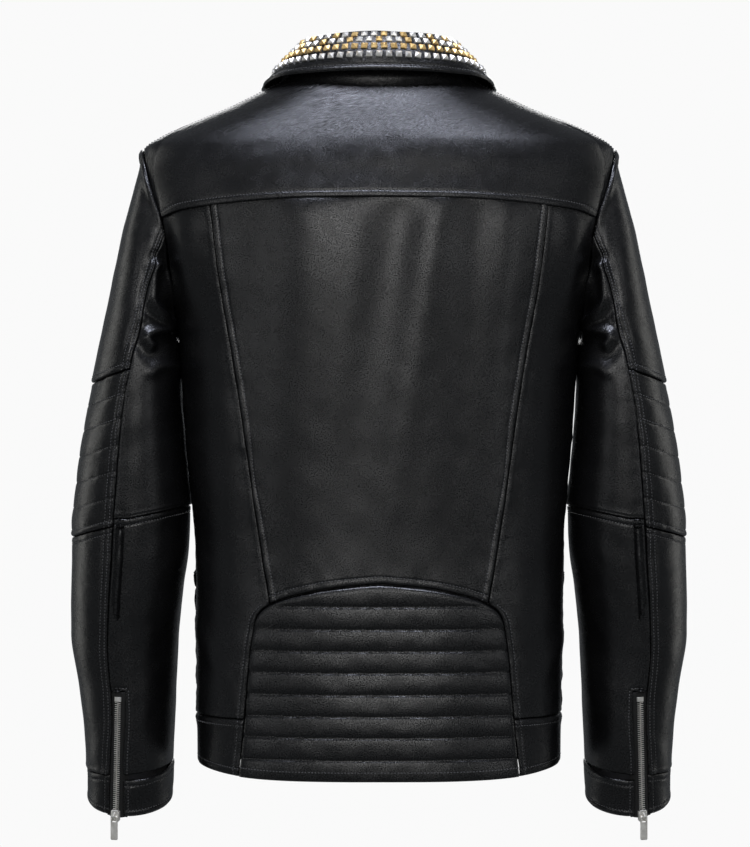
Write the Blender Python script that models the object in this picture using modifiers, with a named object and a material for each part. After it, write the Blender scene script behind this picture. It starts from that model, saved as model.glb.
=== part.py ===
"""Leather riding jacket, men's medium, as an assembly of cut panels, linings, zips and collar studs.

Frame: +Z up, the wearer faces +Y, +X is the wearer's right. The origin is the bearing point of the
hanger loop inside the back of the neck. Units are metres.
"""

import math

import bmesh
import bpy
from mathutils import Matrix, Vector

# ---- driving dimensions -------------------------------------------------------------------------
BODY_Y = 0.056            # the body's middle plane lies this far in front of the hanger loop
LEATHER = 0.0020          # leather with its backing
PADDED = 0.0045           # quilted leather over wadding
LINING = 0.0008
LINING_INSET = 0.0068     # the sleeve lining's outer face, measured in from the leather's
SEAM = 0.0010             # gap between two panels that are sewn edge to edge
HEM_Z = -0.6967            # at the middle of the back and of the front; the sides are higher
WAIST_SEAM_Z = -0.6385
PAD_CORNER_Z = -0.5262     # where the princess seams meet the lumbar pad
ARMHOLE_TOP_Z = -0.078
ARMHOLE_LOW_Z = -0.262
LAPEL_BREAK_Z = -0.200    # top of the front zip, where the lapels start to roll back
ZIP_GAP = 0.0045          # half of the gap between the two fronts, filled by the zip
SHOULDER_PIVOT = (0.2335, BODY_Y, -0.0735)

CHAIN_WIDTH = 0.0060
CHAIN_THICK = 0.0018
TAPE_WIDTH = 0.0115
TAPE_THICK = 0.0009

ARMHOLE_HEIGHTS = [-0.2625, -0.2615, -0.2300, -0.1900, -0.1500, -0.1180, -0.0940, -0.0785, -0.0775]

JACKET = bpy.data.collections.new("leather_riding_jacket")
CUTTERS = bpy.data.collections.new("cutters")


# ---- curves and surfaces ------------------------------------------------------------------------
def smooth(points):
    """A monotone cubic curve through (input, value) points, level beyond its ends."""
    xs = [p[0] for p in points]
    ys = [p[1] for p in points]
    steps = [(ys[i + 1] - ys[i]) / (xs[i + 1] - xs[i]) for i in range(len(xs) - 1)]
    slopes = [steps[0]]
    for before, after in zip(steps, steps[1:]):
        slopes.append(0.0 if before * after <= 0 else 2 * before * after / (before + after))
    slopes.append(steps[-1])

    def value(x):
        if x <= xs[0]:
            return ys[0]
        if x >= xs[-1]:
            return ys[-1]
        i = max(k for k in range(len(xs) - 1) if xs[k] <= x)
        width = xs[i + 1] - xs[i]
        t = (x - xs[i]) / width
        return (
            ys[i] * (1 + 2 * t) * (1 - t) ** 2
            + slopes[i] * width * t * (1 - t) ** 2
            + ys[i + 1] * t * t * (3 - 2 * t)
            + slopes[i + 1] * width * t * t * (t - 1)
        )

    return value


half_width = smooth([
    (-0.700, 0.1810), (-0.600, 0.1815), (-0.470, 0.1845), (-0.380, 0.1915), (-0.300, 0.1955),
    (-0.262, 0.1980), (-0.200, 0.2140), (-0.140, 0.2320), (-0.100, 0.2390), (-0.078, 0.2340),
    (-0.066, 0.2170), (-0.048, 0.1770), (-0.036, 0.1480), (-0.023, 0.1210), (-0.006, 0.0880),
    (0.004, 0.0740),
])
back_depth = smooth([
    (-0.700, 0.114), (-0.500, 0.112), (-0.400, 0.116), (-0.300, 0.122), (-0.200, 0.126),
    (-0.140, 0.122), (-0.100, 0.113), (-0.070, 0.102), (-0.045, 0.090), (-0.022, 0.076), (0.004, 0.060),
])
front_depth = smooth([
    (-0.700, 0.112), (-0.220, 0.120), (-0.140, 0.113), (-0.100, 0.102), (-0.070, 0.090),
    (-0.045, 0.079), (-0.022, 0.070), (0.004, 0.058),
])
squareness = smooth([(-0.700, 2.50), (-0.300, 2.40), (-0.100, 2.20), (0.000, 2.00)])
lining_inset = smooth([(-0.110, 0.0068), (-0.078, 0.0120), (-0.040, 0.0150)])
armhole_x = smooth([
    (-0.262, 0.1980), (-0.231, 0.2010), (-0.190, 0.2075), (-0.150, 0.2135), (-0.1275, 0.2210),
    (-0.105, 0.2280), (-0.078, 0.2340),
])
yoke_seam_z = smooth([
    (0.000, -0.1337), (0.083, -0.1345), (0.128, -0.1370), (0.164, -0.1400), (0.195, -0.1435),
    (0.2125, -0.1490),
])
princess_x = smooth([
    (-0.530, 0.1050), (-0.483, 0.1130), (-0.414, 0.1235), (-0.347, 0.1330), (-0.279, 0.1435),
    (-0.2125, 0.1550), (-0.141, 0.1640),
])
pad_half_width = smooth([(-0.692, 0.1370), (-0.639, 0.1312), (-0.5785, 0.1255), (-0.545, 0.1205)])
pad_top_z = smooth([
    (0.000, -0.5057), (0.048, -0.5105), (0.078, -0.5165), (0.103, -0.5245), (0.1125, -0.5305),
    (0.118, -0.5375), (0.1205, -0.5450),
])
neck_z = smooth([(0, -0.0220), (45, -0.0160), (90, -0.0060)])
neck_front_angle = smooth([(-0.030, 147), (-0.022, 128), (-0.014, 108), (-0.008, 93)])


def body(angle, z, inset=0.0):
    """A point of the torso's outer surface. The angle is 0 at the centre back and 180 at the front."""
    a = half_width(z) - inset
    s, c = math.sin(math.radians(angle)), math.cos(math.radians(angle))
    b = (back_depth(z) if c > 0 else front_depth(z)) - inset
    power = 2 / squareness(z)
    x = math.copysign(a * abs(s) ** power, s)
    y = math.copysign(b * abs(c) ** power, c)
    return Vector((x, BODY_Y - y, z))


def hem_z(angle):
    """The jacket's lower edge, which rises towards the sides."""
    return HEM_Z + 0.010 * math.sin(math.radians(angle)) ** 4


def angle_at(x, z, front=False):
    """The torso angle where the surface passes x at height z."""
    share = min(1.0, abs(x) / half_width(z)) ** (squareness(z) / 2)
    angle = math.degrees(math.asin(share))
    return math.copysign(180 - angle if front else angle, x)


def armhole_angle(z):
    if not ARMHOLE_LOW_Z < z < ARMHOLE_TOP_Z:
        return 90.0
    return angle_at(armhole_x(z), z)


def stand_off(point, gap):
    """The point, moved out if need be so that it is at least this far from the torso's surface."""
    def reach(p):
        n = squareness(p.z)
        depth = back_depth(p.z) if p.y < BODY_Y else front_depth(p.z)
        return ((abs(p.x) / half_width(p.z)) ** n + (abs(p.y - BODY_Y) / depth) ** n) ** (1 / n)

    step = 0.0005
    for _ in range(4):
        here = reach(point)
        slope = Vector([(reach(point + axis * step) - here) / step for axis in Matrix.Identity(3)])
        distance = (here - 1) / slope.length
        if distance < gap:
            point = point + slope.normalized() * (gap - distance)
    return point


def lapel_roll_x(z):
    return ZIP_GAP + (z - LAPEL_BREAK_Z) * 0.071 / 0.170


def solve(function, target, low, high):
    """Where a rising function passes target, between low and high."""
    for _ in range(30):
        middle = (low + high) / 2
        if function(middle) < target:
            low = middle
        else:
            high = middle
    return (low + high) / 2


# The sleeve is lofted between its outer (shoulder to cuff) and inner (armpit to cuff) edge lines.
# The number along it runs from 0 at the armhole to 14 at the cuff's edge.
SLEEVE_END = 14.0
outer_z = smooth([
    (0, -0.078), (1, -0.112), (2, -0.150), (3, -0.195), (4, -0.245), (5, -0.300), (6, -0.355),
    (8, -0.460), (10, -0.560), (12, -0.660), (14, -0.7285),
])
inner_z = smooth([
    (0, -0.262), (1, -0.270), (2, -0.284), (3, -0.304), (4, -0.332), (5, -0.366), (6, -0.402),
    (8, -0.475), (10, -0.560), (12, -0.660), (14, -0.7285),
])
outer_x = smooth([
    (0, 0.2340), (1, 0.2435), (2, 0.2540), (4, 0.2735), (6, 0.2953), (7, 0.3022), (8, 0.3070),
    (10, 0.3090), (11, 0.3022), (12, 0.2970), (14, 0.2938),
])
inner_x = smooth([
    (0, 0.1980), (1, 0.2010), (2, 0.2016), (4, 0.1977), (6, 0.1917), (7, 0.1888), (8, 0.1902),
    (9, 0.1962), (10, 0.2008), (12, 0.2060), (14, 0.2092),
])
sleeve_depth = smooth([(0, 0.0520), (2, 0.0640), (5, 0.0740), (8, 0.0690), (11, 0.0600), (14, 0.0520)])
sleeve_forward = smooth([(0, 0.000), (4, 0.004), (8, 0.013), (11, 0.025), (14, 0.036)])
sleeve_tilt = smooth([(0, 0.0), (4, 2.0), (8, 7.0), (12, 14.0), (14, 16.5)])


def armhole_loop(angle):
    """A point of the armhole's edge: 0 is its top, 90 the middle of its back and 180 the armpit."""
    share = (1 - math.cos(math.radians(angle))) / 2
    z = ARMHOLE_TOP_Z + (ARMHOLE_LOW_Z - ARMHOLE_TOP_Z) * share
    on_body = angle_at(armhole_x(z), z)
    behind = math.sin(math.radians(angle)) >= 0
    return body(on_body if behind else 180 - on_body, z)


def sleeve_section(angle, along, inset=0.0):
    outer = Vector((outer_x(along), 0, outer_z(along)))
    inner = Vector((inner_x(along), 0, inner_z(along)))
    half = (outer - inner) / 2
    half = half * (1 - inset / half.length)
    depth = sleeve_depth(along) - inset
    tilt = math.radians(sleeve_tilt(along))
    s, c = math.sin(math.radians(angle)), math.cos(math.radians(angle))
    across = Vector((0, -math.cos(tilt), -math.sin(tilt))) * depth * s
    centre = (outer + inner) / 2 + Vector((0, BODY_Y + sleeve_forward(along), 0))
    return centre + half * c + across


def sleeve(angle, along, inset=0.0):
    """A point of the right sleeve. The angle is 0 on the outside, 90 at the back, 180 inside."""
    point = sleeve_section(angle, along, inset)
    settle = max(0.0, 1 - along / 4)
    settle = settle * settle * (3 - 2 * settle)
    if settle > 0:
        point = point + (armhole_loop(angle) - sleeve_section(angle, 0)) * settle
    return point


def sleeve_along(angle, z):
    """How far along the sleeve its surface reaches height z at this angle."""
    return solve(lambda along: -sleeve(angle, along).z, -z, 0.0, SLEEVE_END)


# ---- building blocks ----------------------------------------------------------------------------
def material(name, colour, roughness, metallic=0.0):
    found = bpy.data.materials.get(name)
    if found:
        return found
    made = bpy.data.materials.new(name)
    made.use_nodes = True
    shader = made.node_tree.nodes["Principled BSDF"]
    shader.inputs["Base Color"].default_value = (*colour, 1)
    shader.inputs["Roughness"].default_value = roughness
    shader.inputs["Metallic"].default_value = metallic
    return made


def leather():
    return material("black_leather", (0.020, 0.020, 0.021), 0.42)


def lining_cloth():
    return material("black_lining", (0.012, 0.012, 0.014), 0.60)


def silver():
    return material("nickel", (0.78, 0.76, 0.72), 0.25, 1.0)


def gold():
    return material("gilt_brass", (0.80, 0.60, 0.28), 0.25, 1.0)


def tape_cloth():
    return material("zip_tape", (0.010, 0.010, 0.010), 0.80)


def add(name, mesh, surface):
    obj = bpy.data.objects.new(name, mesh)
    JACKET.objects.link(obj)
    if not mesh.materials:
        mesh.materials.append(surface)
    mesh.shade_smooth()
    mesh.set_sharp_from_angle(angle=math.radians(40))
    return obj


def shell(name, rows, thickness, surface, closed=False):
    """A sheet through rows of points, thickened inwards with Solidify. The rows run left to right,
    seen from outside, and climb."""
    sheet = bmesh.new()
    grid = [[sheet.verts.new(point) for point in row] for row in rows]
    last = len(rows[0]) if closed else len(rows[0]) - 1
    for low, high in zip(grid, grid[1:]):
        for i in range(last):
            j = (i + 1) % len(low)
            sheet.faces.new((low[i], low[j], high[j], high[i]))
    mesh = bpy.data.meshes.new(name)
    sheet.to_mesh(mesh)
    sheet.free()
    obj = add(name, mesh, surface)
    solidify = obj.modifiers.new("thickness", "SOLIDIFY")
    solidify.thickness = thickness
    solidify.offset = -1
    return obj


def spread(low, high, count):
    return [low + (high - low) * i / (count - 1) for i in range(count)]


def body_panel(name, left, right, low, high, columns, rows, thickness=LEATHER, inset=0.0,
               surface=None):
    """A panel of the torso. left and right give its angle limits at a height, and low and high its
    height limits at an angle. Each is pulled in by half a seam."""
    grid = []
    for v in spread(0, 1, rows):
        line = []
        for u in spread(0, 1, columns):
            angle, z = (left(-0.4) + right(-0.4)) / 2, -0.4
            for _ in range(12):
                bottom, top = low(angle) + SEAM / 2, high(angle) - SEAM / 2
                z = bottom + v * (top - bottom)
                trim = math.degrees(SEAM / 2 / half_width(z))
                start, end = left(z) + trim, right(z) - trim
                angle = start + u * (end - start)
            line.append(body(angle, z, inset))
        grid.append(line)
    return shell(name, grid, thickness, surface or leather())


def mirrored(name, right_object):
    """The left-hand copy of a right-hand piece."""
    mesh = right_object.data.copy()
    mesh.transform(Matrix.Scale(-1, 4, (1, 0, 0)))
    mesh.flip_normals()
    obj = add(name, mesh, None)
    for modifier in right_object.modifiers:
        if modifier.type == "SOLIDIFY":
            twin = obj.modifiers.new("thickness", "SOLIDIFY")
            twin.thickness = modifier.thickness
            twin.offset = modifier.offset
    return obj


def pair(name, right_object):
    """Names a piece as the right one of a pair and adds the left one."""
    right_object.name = name + "_right"
    return right_object, mirrored(name + "_left", right_object)


# ---- back of the body ---------------------------------------------------------------------------
def yoke_low_z(angle):
    """The yoke's lower edge: the yoke seam, then up the back of the armhole to the shoulder."""
    x = abs(body(angle, -0.14).x)
    seam = yoke_seam_z(x)
    if abs(angle) < armhole_angle(seam) - 0.01:
        return seam
    if abs(angle) >= 89.9:
        return ARMHOLE_TOP_Z
    return solve(armhole_angle, abs(angle), yoke_corner_z(), ARMHOLE_TOP_Z)


def yoke_corner_z():
    return yoke_seam_z(0.2125) + 0.0006


def yoke():
    corner = armhole_angle(yoke_corner_z())
    inner = spread(-corner, corner, 15)
    outer = [corner + (90 - corner) * share for share in (0.1, 0.4, 0.7, 1.0)]
    angles = [-a for a in reversed(outer)] + inner + outer
    angles = [max(-89.8, min(89.8, a)) for a in angles]
    grid = []
    for v in spread(0, 1, 7):
        line = []
        for angle in angles:
            low = yoke_low_z(angle) + SEAM / 2
            high = neck_z(abs(angle)) - SEAM / 2
            line.append(body(angle, low + v * (high - low)))
        grid.append(line)
    shell("yoke", grid, LEATHER, leather())


def back_panels():
    body_panel(
        "back_centre_panel",
        lambda z: -angle_at(princess_x(z), z),
        lambda z: angle_at(princess_x(z), z),
        lambda angle: pad_top_z(abs(body(angle, -0.51).x)) + SEAM / 2,
        lambda angle: yoke_seam_z(abs(body(angle, -0.135).x)),
        9, 8,
    )

    def inner_edge(z):
        if z >= PAD_CORNER_Z:
            return angle_at(princess_x(z), z)
        if z > -0.545:
            return angle_at(solve(lambda x: -pad_top_z(x), -z, 0.09, 0.1205) + SEAM / 2, z)
        return angle_at(pad_half_width(z) + SEAM / 2, z)

    grid = []
    heights = [WAIST_SEAM_Z + SEAM / 2, -0.6000, -0.5600, -0.5450, -0.5375, -0.5305, PAD_CORNER_Z, -0.5000]
    heights += [-0.4740, -0.4200, -0.3470, -0.2900, -0.2625, -0.2615, -0.2300, -0.1900]
    for z in heights:
        trim = math.degrees(SEAM / 2 / half_width(z))
        grid.append([body(a, z) for a in spread(inner_edge(z) + trim, armhole_angle(z) - trim, 6)])
    for share in (0.5, 1.0):
        line = []
        for u in spread(0, 1, 6):
            angle = 45
            for _ in range(12):
                seam = yoke_seam_z(min(0.2125, abs(body(angle, -0.14).x))) - SEAM
                z = -0.1900 + share * (seam + 0.1900)
                trim = math.degrees(SEAM / 2 / half_width(z))
                start, end = inner_edge(z) + trim, armhole_angle(z) - trim
                angle = start + u * (end - start)
            line.append(body(angle, z))
        grid.append(line)
    pair("back_side_panel", shell("back_side", grid, LEATHER, leather()))
    pair("waistband_back", body_panel(
        "waistband", lambda z: angle_at(pad_half_width(z) + SEAM / 2, z), lambda z: 90.0,
        hem_z, lambda angle: WAIST_SEAM_Z, 6, 3, 0.0030,
    ))


def lumbar_pad():
    """The quilted pad: straight sides that lean in, round shoulders and an arched top."""
    shoulder = [0.118, 0.1125, 0.103, 0.0905]
    widths = [-x for x in [0.1205] + shoulder] + spread(-0.078, 0.078, 7)
    widths += [x for x in reversed([0.1205] + shoulder)]
    grid = []
    for v in spread(0, 1, 6):
        line = []
        for x_top in widths:
            high = pad_top_z(abs(x_top)) - SEAM / 2
            side = angle_at(x_top * pad_half_width(HEM_Z) / 0.1205, HEM_Z + 0.006)
            low = hem_z(side) + SEAM / 2
            z = low + v * (high - low)
            x = x_top * (pad_half_width(z) - SEAM / 2) / 0.1205
            line.append(body(angle_at(x, z), z))
        grid.append(line)
    shell("lumbar_pad", grid, PADDED, leather())


# ---- front of the body --------------------------------------------------------------------------
quilt_edge_angle = smooth([
    (-0.6385, 126), (-0.560, 125), (-0.530, 121), (-0.515, 114), (-0.505, 103), (-0.500, 91.5),
])


def front_inner_angle(z):
    if z > -0.030:
        return neck_front_angle(z)
    if z > LAPEL_BREAK_Z:
        return angle_at(lapel_roll_x(z), z, front=True)
    return angle_at(ZIP_GAP, z, front=True)


def front_outer_angle(z):
    if z < -0.500:
        return quilt_edge_angle(z)
    return 180 - armhole_angle(z)


def fronts():
    quilt_heights = [WAIST_SEAM_Z + SEAM / 2, -0.6000, -0.5600, -0.5300, -0.5150, -0.5060]
    grid = []
    heights = quilt_heights + [-0.5000, -0.4800, -0.3900, -0.3000] + ARMHOLE_HEIGHTS
    heights += [-0.0600, -0.0440, -0.0300, -0.0220, -0.0140, -0.0090]
    for z in heights:
        trim = math.degrees(SEAM / 2 / half_width(z))
        start, end = front_outer_angle(z) + trim, front_inner_angle(z) - trim
        grid.append([body(angle, z) for angle in spread(start, end, 7)])
    pair("front_panel", shell("front", grid, LEATHER, leather()))

    grid = []
    for z in quilt_heights:
        trim = math.degrees(SEAM / 2 / half_width(z))
        end = quilt_edge_angle(z) - 2 * trim
        grid.append([body(angle, z) for angle in spread(90 + trim, end, 5)])
    pair("front_side_quilt", shell("quilt", grid, PADDED, leather()))

    pair("waistband_front", body_panel(
        "waistband", lambda z: 90.0, lambda z: angle_at(ZIP_GAP, z, front=True),
        hem_z, lambda angle: WAIST_SEAM_Z, 8, 3, 0.0030,
    ))


lapel_outer_x = smooth([(0.0, 0.016), (0.35, 0.058), (0.7, 0.096), (1.0, 0.112)])
lapel_outer_z = smooth([(0.0, -0.196), (0.35, -0.163), (0.7, -0.122), (1.0, -0.094)])


def on_front(x, z, stand_off):
    """The point over the front at x and z, this far in front of the leather."""
    point = body(angle_at(x, z, front=True), z)
    return point + Vector((0, stand_off, 0))


def lapels():
    grid = []
    for v in spread(0, 1, 8):
        inner_height = -0.190 + v * 0.140
        line = []
        for u in spread(0, 1, 5):
            x = lapel_roll_x(inner_height) + 0.002
            x = x + u * (lapel_outer_x(v) - x)
            z = inner_height + u * (lapel_outer_z(v) - inner_height)
            line.append(on_front(x, z, 0.0080 - 0.002 * abs(2 * u - 1)))
        grid.append(list(reversed(line)))
    pair("lapel", shell("lapel", grid, LEATHER, leather()))


# ---- collar -------------------------------------------------------------------------------------
COLLAR_ANGLE = 132
COLLAR_STEPS = 25
fold_z = smooth([(0, 0.0310), (60, 0.0290), (90, 0.0220), (132, -0.0120)])
leaf_edge_z = smooth([(0, -0.0076), (50, -0.0085), (75, -0.0130), (90, -0.0180), (132, -0.0480)])


def around(angle, width, back, front, z):
    s, c = math.sin(math.radians(angle)), math.cos(math.radians(angle))
    return Vector((width * s, BODY_Y - (back if c > 0 else front) * c, z))


def collar_stand():
    grid = []
    for v in spread(0, 1, 4):
        line = []
        for angle in spread(-COLLAR_ANGLE, COLLAR_ANGLE, COLLAR_STEPS):
            turn = abs(angle)
            low = neck_z(turn) if turn < 90 else solve(
                lambda z: -neck_front_angle(z), -turn, -0.030, -0.008)
            base = body(math.copysign(turn, angle), low, 0.0010)
            top = around(angle, 0.0735, 0.0590, 0.0630, fold_z(turn) - 0.0035)
            line.append(base.lerp(top, 0.02 + 0.98 * v) + Vector((0, 0, 0.0006 * (1 - v))))
        grid.append(line)
    shell("collar_stand", grid, LEATHER, leather())


def leaf_point(angle, share, lift=0.0):
    """A point of the turned-down collar leaf: share 0 is its fold and 1 its lower edge."""
    turn = abs(angle)
    top = around(angle, 0.0788, 0.0655, 0.0700, fold_z(turn))
    edge = around(angle, 0.1168, 0.0850, 0.1120, leaf_edge_z(turn))
    outwards = Vector((edge.x - top.x, edge.y - top.y, 0)).normalized()
    crown = 0.0045 * (1 - 0.8 * math.sin(math.radians(turn)) ** 2) * math.sin(math.pi * share)
    point = stand_off(top.lerp(edge, share), 0.0046 - 0.0014 * (1 - share))
    return point + (outwards * 0.7 + Vector((0, 0, 0.7))) * (crown + lift)


def collar_leaf():
    grid = []
    for share in reversed(spread(0, 1, 5)):
        grid.append([leaf_point(a, share) for a in spread(-COLLAR_ANGLE, COLLAR_ANGLE, COLLAR_STEPS)])
    shell("collar_leaf", grid, 0.0026, leather())


STUD_ROWS = (0.06, 0.25, 0.45, 0.66)
STUD_HEIGHT = 0.0026


def stud_rows():
    """Each row of pyramid studs on the leaf, joined here by the strip that holds them."""
    for row, share in enumerate(STUD_ROWS, 1):
        grid = []
        angles = spread(-COLLAR_ANGLE, COLLAR_ANGLE, COLLAR_STEPS)[1:-1]
        for offset, lift in ((0.055, 0.0), (0.0, STUD_HEIGHT), (-0.055, 0.0)):
            grid.append([leaf_point(a, share + offset, 0.0017 + lift) for a in angles])
        shell(f"collar_studs_row_{row}", grid, 0.0006, silver() if row % 2 else gold())


# ---- linings and the hanger loop ----------------------------------------------------------------
def linings():
    grid = []
    for z in [-0.672, -0.540, -0.400, -0.290] + ARMHOLE_HEIGHTS + [-0.056, -0.040, -0.028]:
        limit = armhole_angle(z) - (3.0 if ARMHOLE_LOW_Z < z < ARMHOLE_TOP_Z else 0.4)
        grid.append([body(angle, z, lining_inset(z)) for angle in spread(-limit, limit, 11)])
    shell("lining_back", grid, LINING, lining_cloth())

    grid = []
    for z in [-0.672, -0.540, -0.400, -0.290] + ARMHOLE_HEIGHTS + [-0.056, -0.040]:
        start = 180 - armhole_angle(z) + (3.0 if ARMHOLE_LOW_Z < z < ARMHOLE_TOP_Z else 0.4)
        end = front_inner_angle(z) - math.degrees(0.010 / half_width(z))
        grid.append([body(angle, z, lining_inset(z)) for angle in spread(start, end, 6)])
    pair("lining_front", shell("lining", grid, LINING, lining_cloth()))


def hanger_loop():
    """A leather cord sewn in at both ends, pulled up into an arch by the hook that it hangs on."""
    radius = 0.0022
    curve = bpy.data.curves.new("hanger_loop", "CURVE")
    curve.dimensions = "3D"
    curve.bevel_depth = radius
    curve.bevel_resolution = 2
    curve.use_fill_caps = True
    spline = curve.splines.new("POLY")
    steps = 14
    arch = []
    for i in range(steps + 1):
        turn = math.pi * i / steps
        arch.append((0.030 * math.cos(turn), 0.0, radius - 0.0185 * (1 - math.sin(turn))))
    ends = [(0.0330, -0.0098, -0.0190)]
    path = ends + arch + [(-x, y, z) for x, y, z in ends]
    spline.points.add(len(path) - 1)
    for point, place in zip(spline.points, path):
        point.co = (*place, 1)
    obj = bpy.data.objects.new("hanger_loop", curve)
    curve.materials.append(leather())
    JACKET.objects.link(obj)


# ---- sleeves ------------------------------------------------------------------------------------
BACK_SEAM = smooth([     # the back seam's angle along the sleeve
    (0, 86.0), (2, 88.0), (3, 89.0), (4, 81.5), (5.3, 76.5), (8, 75.5), (11, 75.5), (12.3, 68.5),
    (14, 63.5),
])
FRONT_SEAM = -75.0
PAD_DROP = 0.012


def drop_line(z):
    """A line round the sleeve at height z on its back seam, lower on its outside."""
    def height(angle):
        return z - PAD_DROP * max(0.0, math.cos(math.radians(angle * 90 / 74)))
    return height


def sleeve_panel(name, start, end, top, low, columns, rows, thickness=LEATHER):
    """A sleeve panel. start and end give its angle limits, along the sleeve; top and low give its
    upper and lower limits as a place along the sleeve, at an angle. rows is a count, or the rows'
    shares of the way down."""
    grid = []
    for v in reversed(spread(0, 1, rows) if isinstance(rows, int) else rows):
        line = []
        for u in spread(0, 1, columns):
            angle, along = (start(7) + end(7)) / 2, 7
            for _ in range(8):
                first, last = top(angle), low(angle)
                along = first + v * (last - first)
                trim = math.degrees(SLEEVE_SEAM / 2 / 0.055)
                angle = start(along) + trim + u * (end(along) - start(along) - 2 * trim)
            line.append(sleeve(angle, along))
        grid.append(list(reversed(line)))
    return shell(name, grid, thickness, leather())


def at_height(height, above=0.0):
    """Turns a height line into places along the sleeve, shifted up by half a seam or so."""
    return lambda angle: sleeve_along(angle, height(angle) + above)


SLEEVE_START = 0.12     # the sleeve starts this far along, clear of the armhole
SLEEVE_SEAM = 0.0026    # gap along the sleeve's two long seams
PAD_TOP_Z, PAD_LOW_Z = -0.2987, -0.4529
ELBOW_SEAM_Z = -0.4450
CUFF_SEAM_Z = -0.6945


def elbow_seam(angle):
    return ELBOW_SEAM_Z + 0.012 * max(0.0, (abs(angle - 180) < 90) * math.cos(math.radians(180 - angle)))


def cuff_seam(angle):
    return CUFF_SEAM_Z - 0.006 * math.sin(math.radians(angle)) - 0.003 * math.cos(math.radians(angle))


def sleeves():
    def front(along):
        return FRONT_SEAM

    def back(along):
        return BACK_SEAM(along)

    def under_end(along):
        return FRONT_SEAM + 360

    def beside_zip(along):
        """The forearm's under panel starts past the cuff zip where there is one."""
        return BACK_SEAM(along) + (0.0 if sleeve(80, along).z > ZIP_TOP_Z else zip_window(along))

    gap = SEAM / 2
    pair("sleeve_top_upper", sleeve_panel(
        "top", front, back, lambda a: SLEEVE_START, at_height(drop_line(PAD_TOP_Z), gap), 9, 8))
    pair("elbow_pad", sleeve_panel(
        "pad", front, back, at_height(drop_line(PAD_TOP_Z), -gap), at_height(drop_line(PAD_LOW_Z), gap),
        9, 5, PADDED))
    pair("sleeve_top_lower", sleeve_panel(
        "forearm", front, back, at_height(drop_line(PAD_LOW_Z), -gap), at_height(cuff_seam, gap), 9, 5))
    pair("sleeve_under_upper", sleeve_panel(
        "under", back, under_end, lambda a: SLEEVE_START, at_height(elbow_seam, gap), 12, 8))
    start = sleeve_along(71, ELBOW_SEAM_Z)
    window = (sleeve_along(80, ZIP_TOP_Z) - start) / (sleeve_along(71, CUFF_SEAM_Z) - start)
    shares = [0, 0.22, 0.44, window - 0.012, window + 0.002, 0.85, 1]
    pair("sleeve_under_lower", sleeve_panel(
        "under_low", beside_zip, under_end, at_height(elbow_seam, -gap), at_height(cuff_seam, gap),
        12, shares))
    pair("cuff_band", sleeve_panel(
        "cuff", lambda along: BACK_SEAM(along) + zip_window(along) - 360, back,
        at_height(cuff_seam, -gap), lambda angle: SLEEVE_END, 19, 3, 0.0030))

    grid = []
    for along in reversed(spread(1.1, SLEEVE_END - 0.25, 9)):
        grid.append([sleeve(angle, along, LINING_INSET) for angle in reversed(spread(0, 342, 20))])
    pair("sleeve_lining", shell("lining", grid, LINING, lining_cloth(), closed=True))


# ---- zips ---------------------------------------------------------------------------------------
ZIP_TOP_Z = -0.6170
zip_window = smooth([(11, 16.0), (14, 22.0)])    # the window's width in degrees, along the sleeve
SLIDER_SIZE = (0.0088, 0.0044, 0.0120)
GROOVE = (0.0070, 0.0031)
BAIL = (0.0014, 0.0036, 0.0066)
EYE = (0.0024, 0.0040)
EYE_HEIGHT = 0.0014      # the pull's bar above the slider's top
PULL_SIZE = (0.0074, 0.0014, 0.0240)


def box(name, size, centre, surface=None, bevel=0.0):
    mesh = bpy.data.meshes.new(name)
    shape = bmesh.new()
    bmesh.ops.create_cube(shape, size=1.0)
    bmesh.ops.scale(shape, vec=size, verts=shape.verts)
    bmesh.ops.translate(shape, vec=centre, verts=shape.verts)
    shape.to_mesh(mesh)
    shape.free()
    obj = bpy.data.objects.new(name, mesh)
    if surface:
        mesh.materials.append(surface)
        JACKET.objects.link(obj)
    else:
        CUTTERS.objects.link(obj)
        obj.hide_render = True
        obj.display_type = "WIRE"
    if bevel:
        rounding = obj.modifiers.new("rounding", "BEVEL")
        rounding.width = bevel
        rounding.segments = 2
    return obj


def combined(name, base, additions, removals):
    """One mesh from a base box, joined with some helpers and cut by others."""
    for operation, helpers in (("UNION", additions), ("DIFFERENCE", removals)):
        for helper in helpers:
            step = base.modifiers.new(operation.lower(), "BOOLEAN")
            step.operation = operation
            step.object = helper
    bpy.context.view_layer.update()
    graph = bpy.context.evaluated_depsgraph_get()
    mesh = bpy.data.meshes.new_from_object(base.evaluated_get(graph))
    mesh.name = name
    for obj in [base, *additions, *removals]:
        bpy.data.objects.remove(obj)
    return mesh


def slider_mesh():
    """A channel that rides over the teeth, with a staple-shaped bail for the pull. The zip runs
    along local Z, and local Y points away from the garment; the teeth's middle is the origin."""
    width, height, length = SLIDER_SIZE
    groove_width, groove_height = GROOVE
    top = height / 2
    centre_y = height / 2 - 0.0012
    base = box("slider_base", SLIDER_SIZE, (0, centre_y, 0))
    groove = box("groove", (groove_width, groove_height, length * 2), (0, -0.0001, 0))
    bail_width, bail_height, bail_length = BAIL
    bail_y = centre_y + top + bail_height / 2 - 0.0003
    bail = box("bail", (bail_width, bail_height + 0.0006, bail_length), (0, bail_y, 0))
    eye = box("eye", (bail_width * 3, *EYE), (0, centre_y + top + EYE_HEIGHT, 0))
    return combined("zip_slider", base, [bail], [groove, eye])


def pull_mesh():
    """A flat tab with a window at its top; the window's top bar passes through the slider's bail.
    The bar's axis is the origin, and the tab hangs along -Z."""
    width, thickness, length = PULL_SIZE
    middle = -length / 2 + 0.0007
    base = box("pull_base", PULL_SIZE, (0, 0, middle))
    window = box("window", (0.0042, thickness * 3, 0.0050), (0, 0, -0.0032))
    return combined("zip_pull", base, [], [window])


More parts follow.
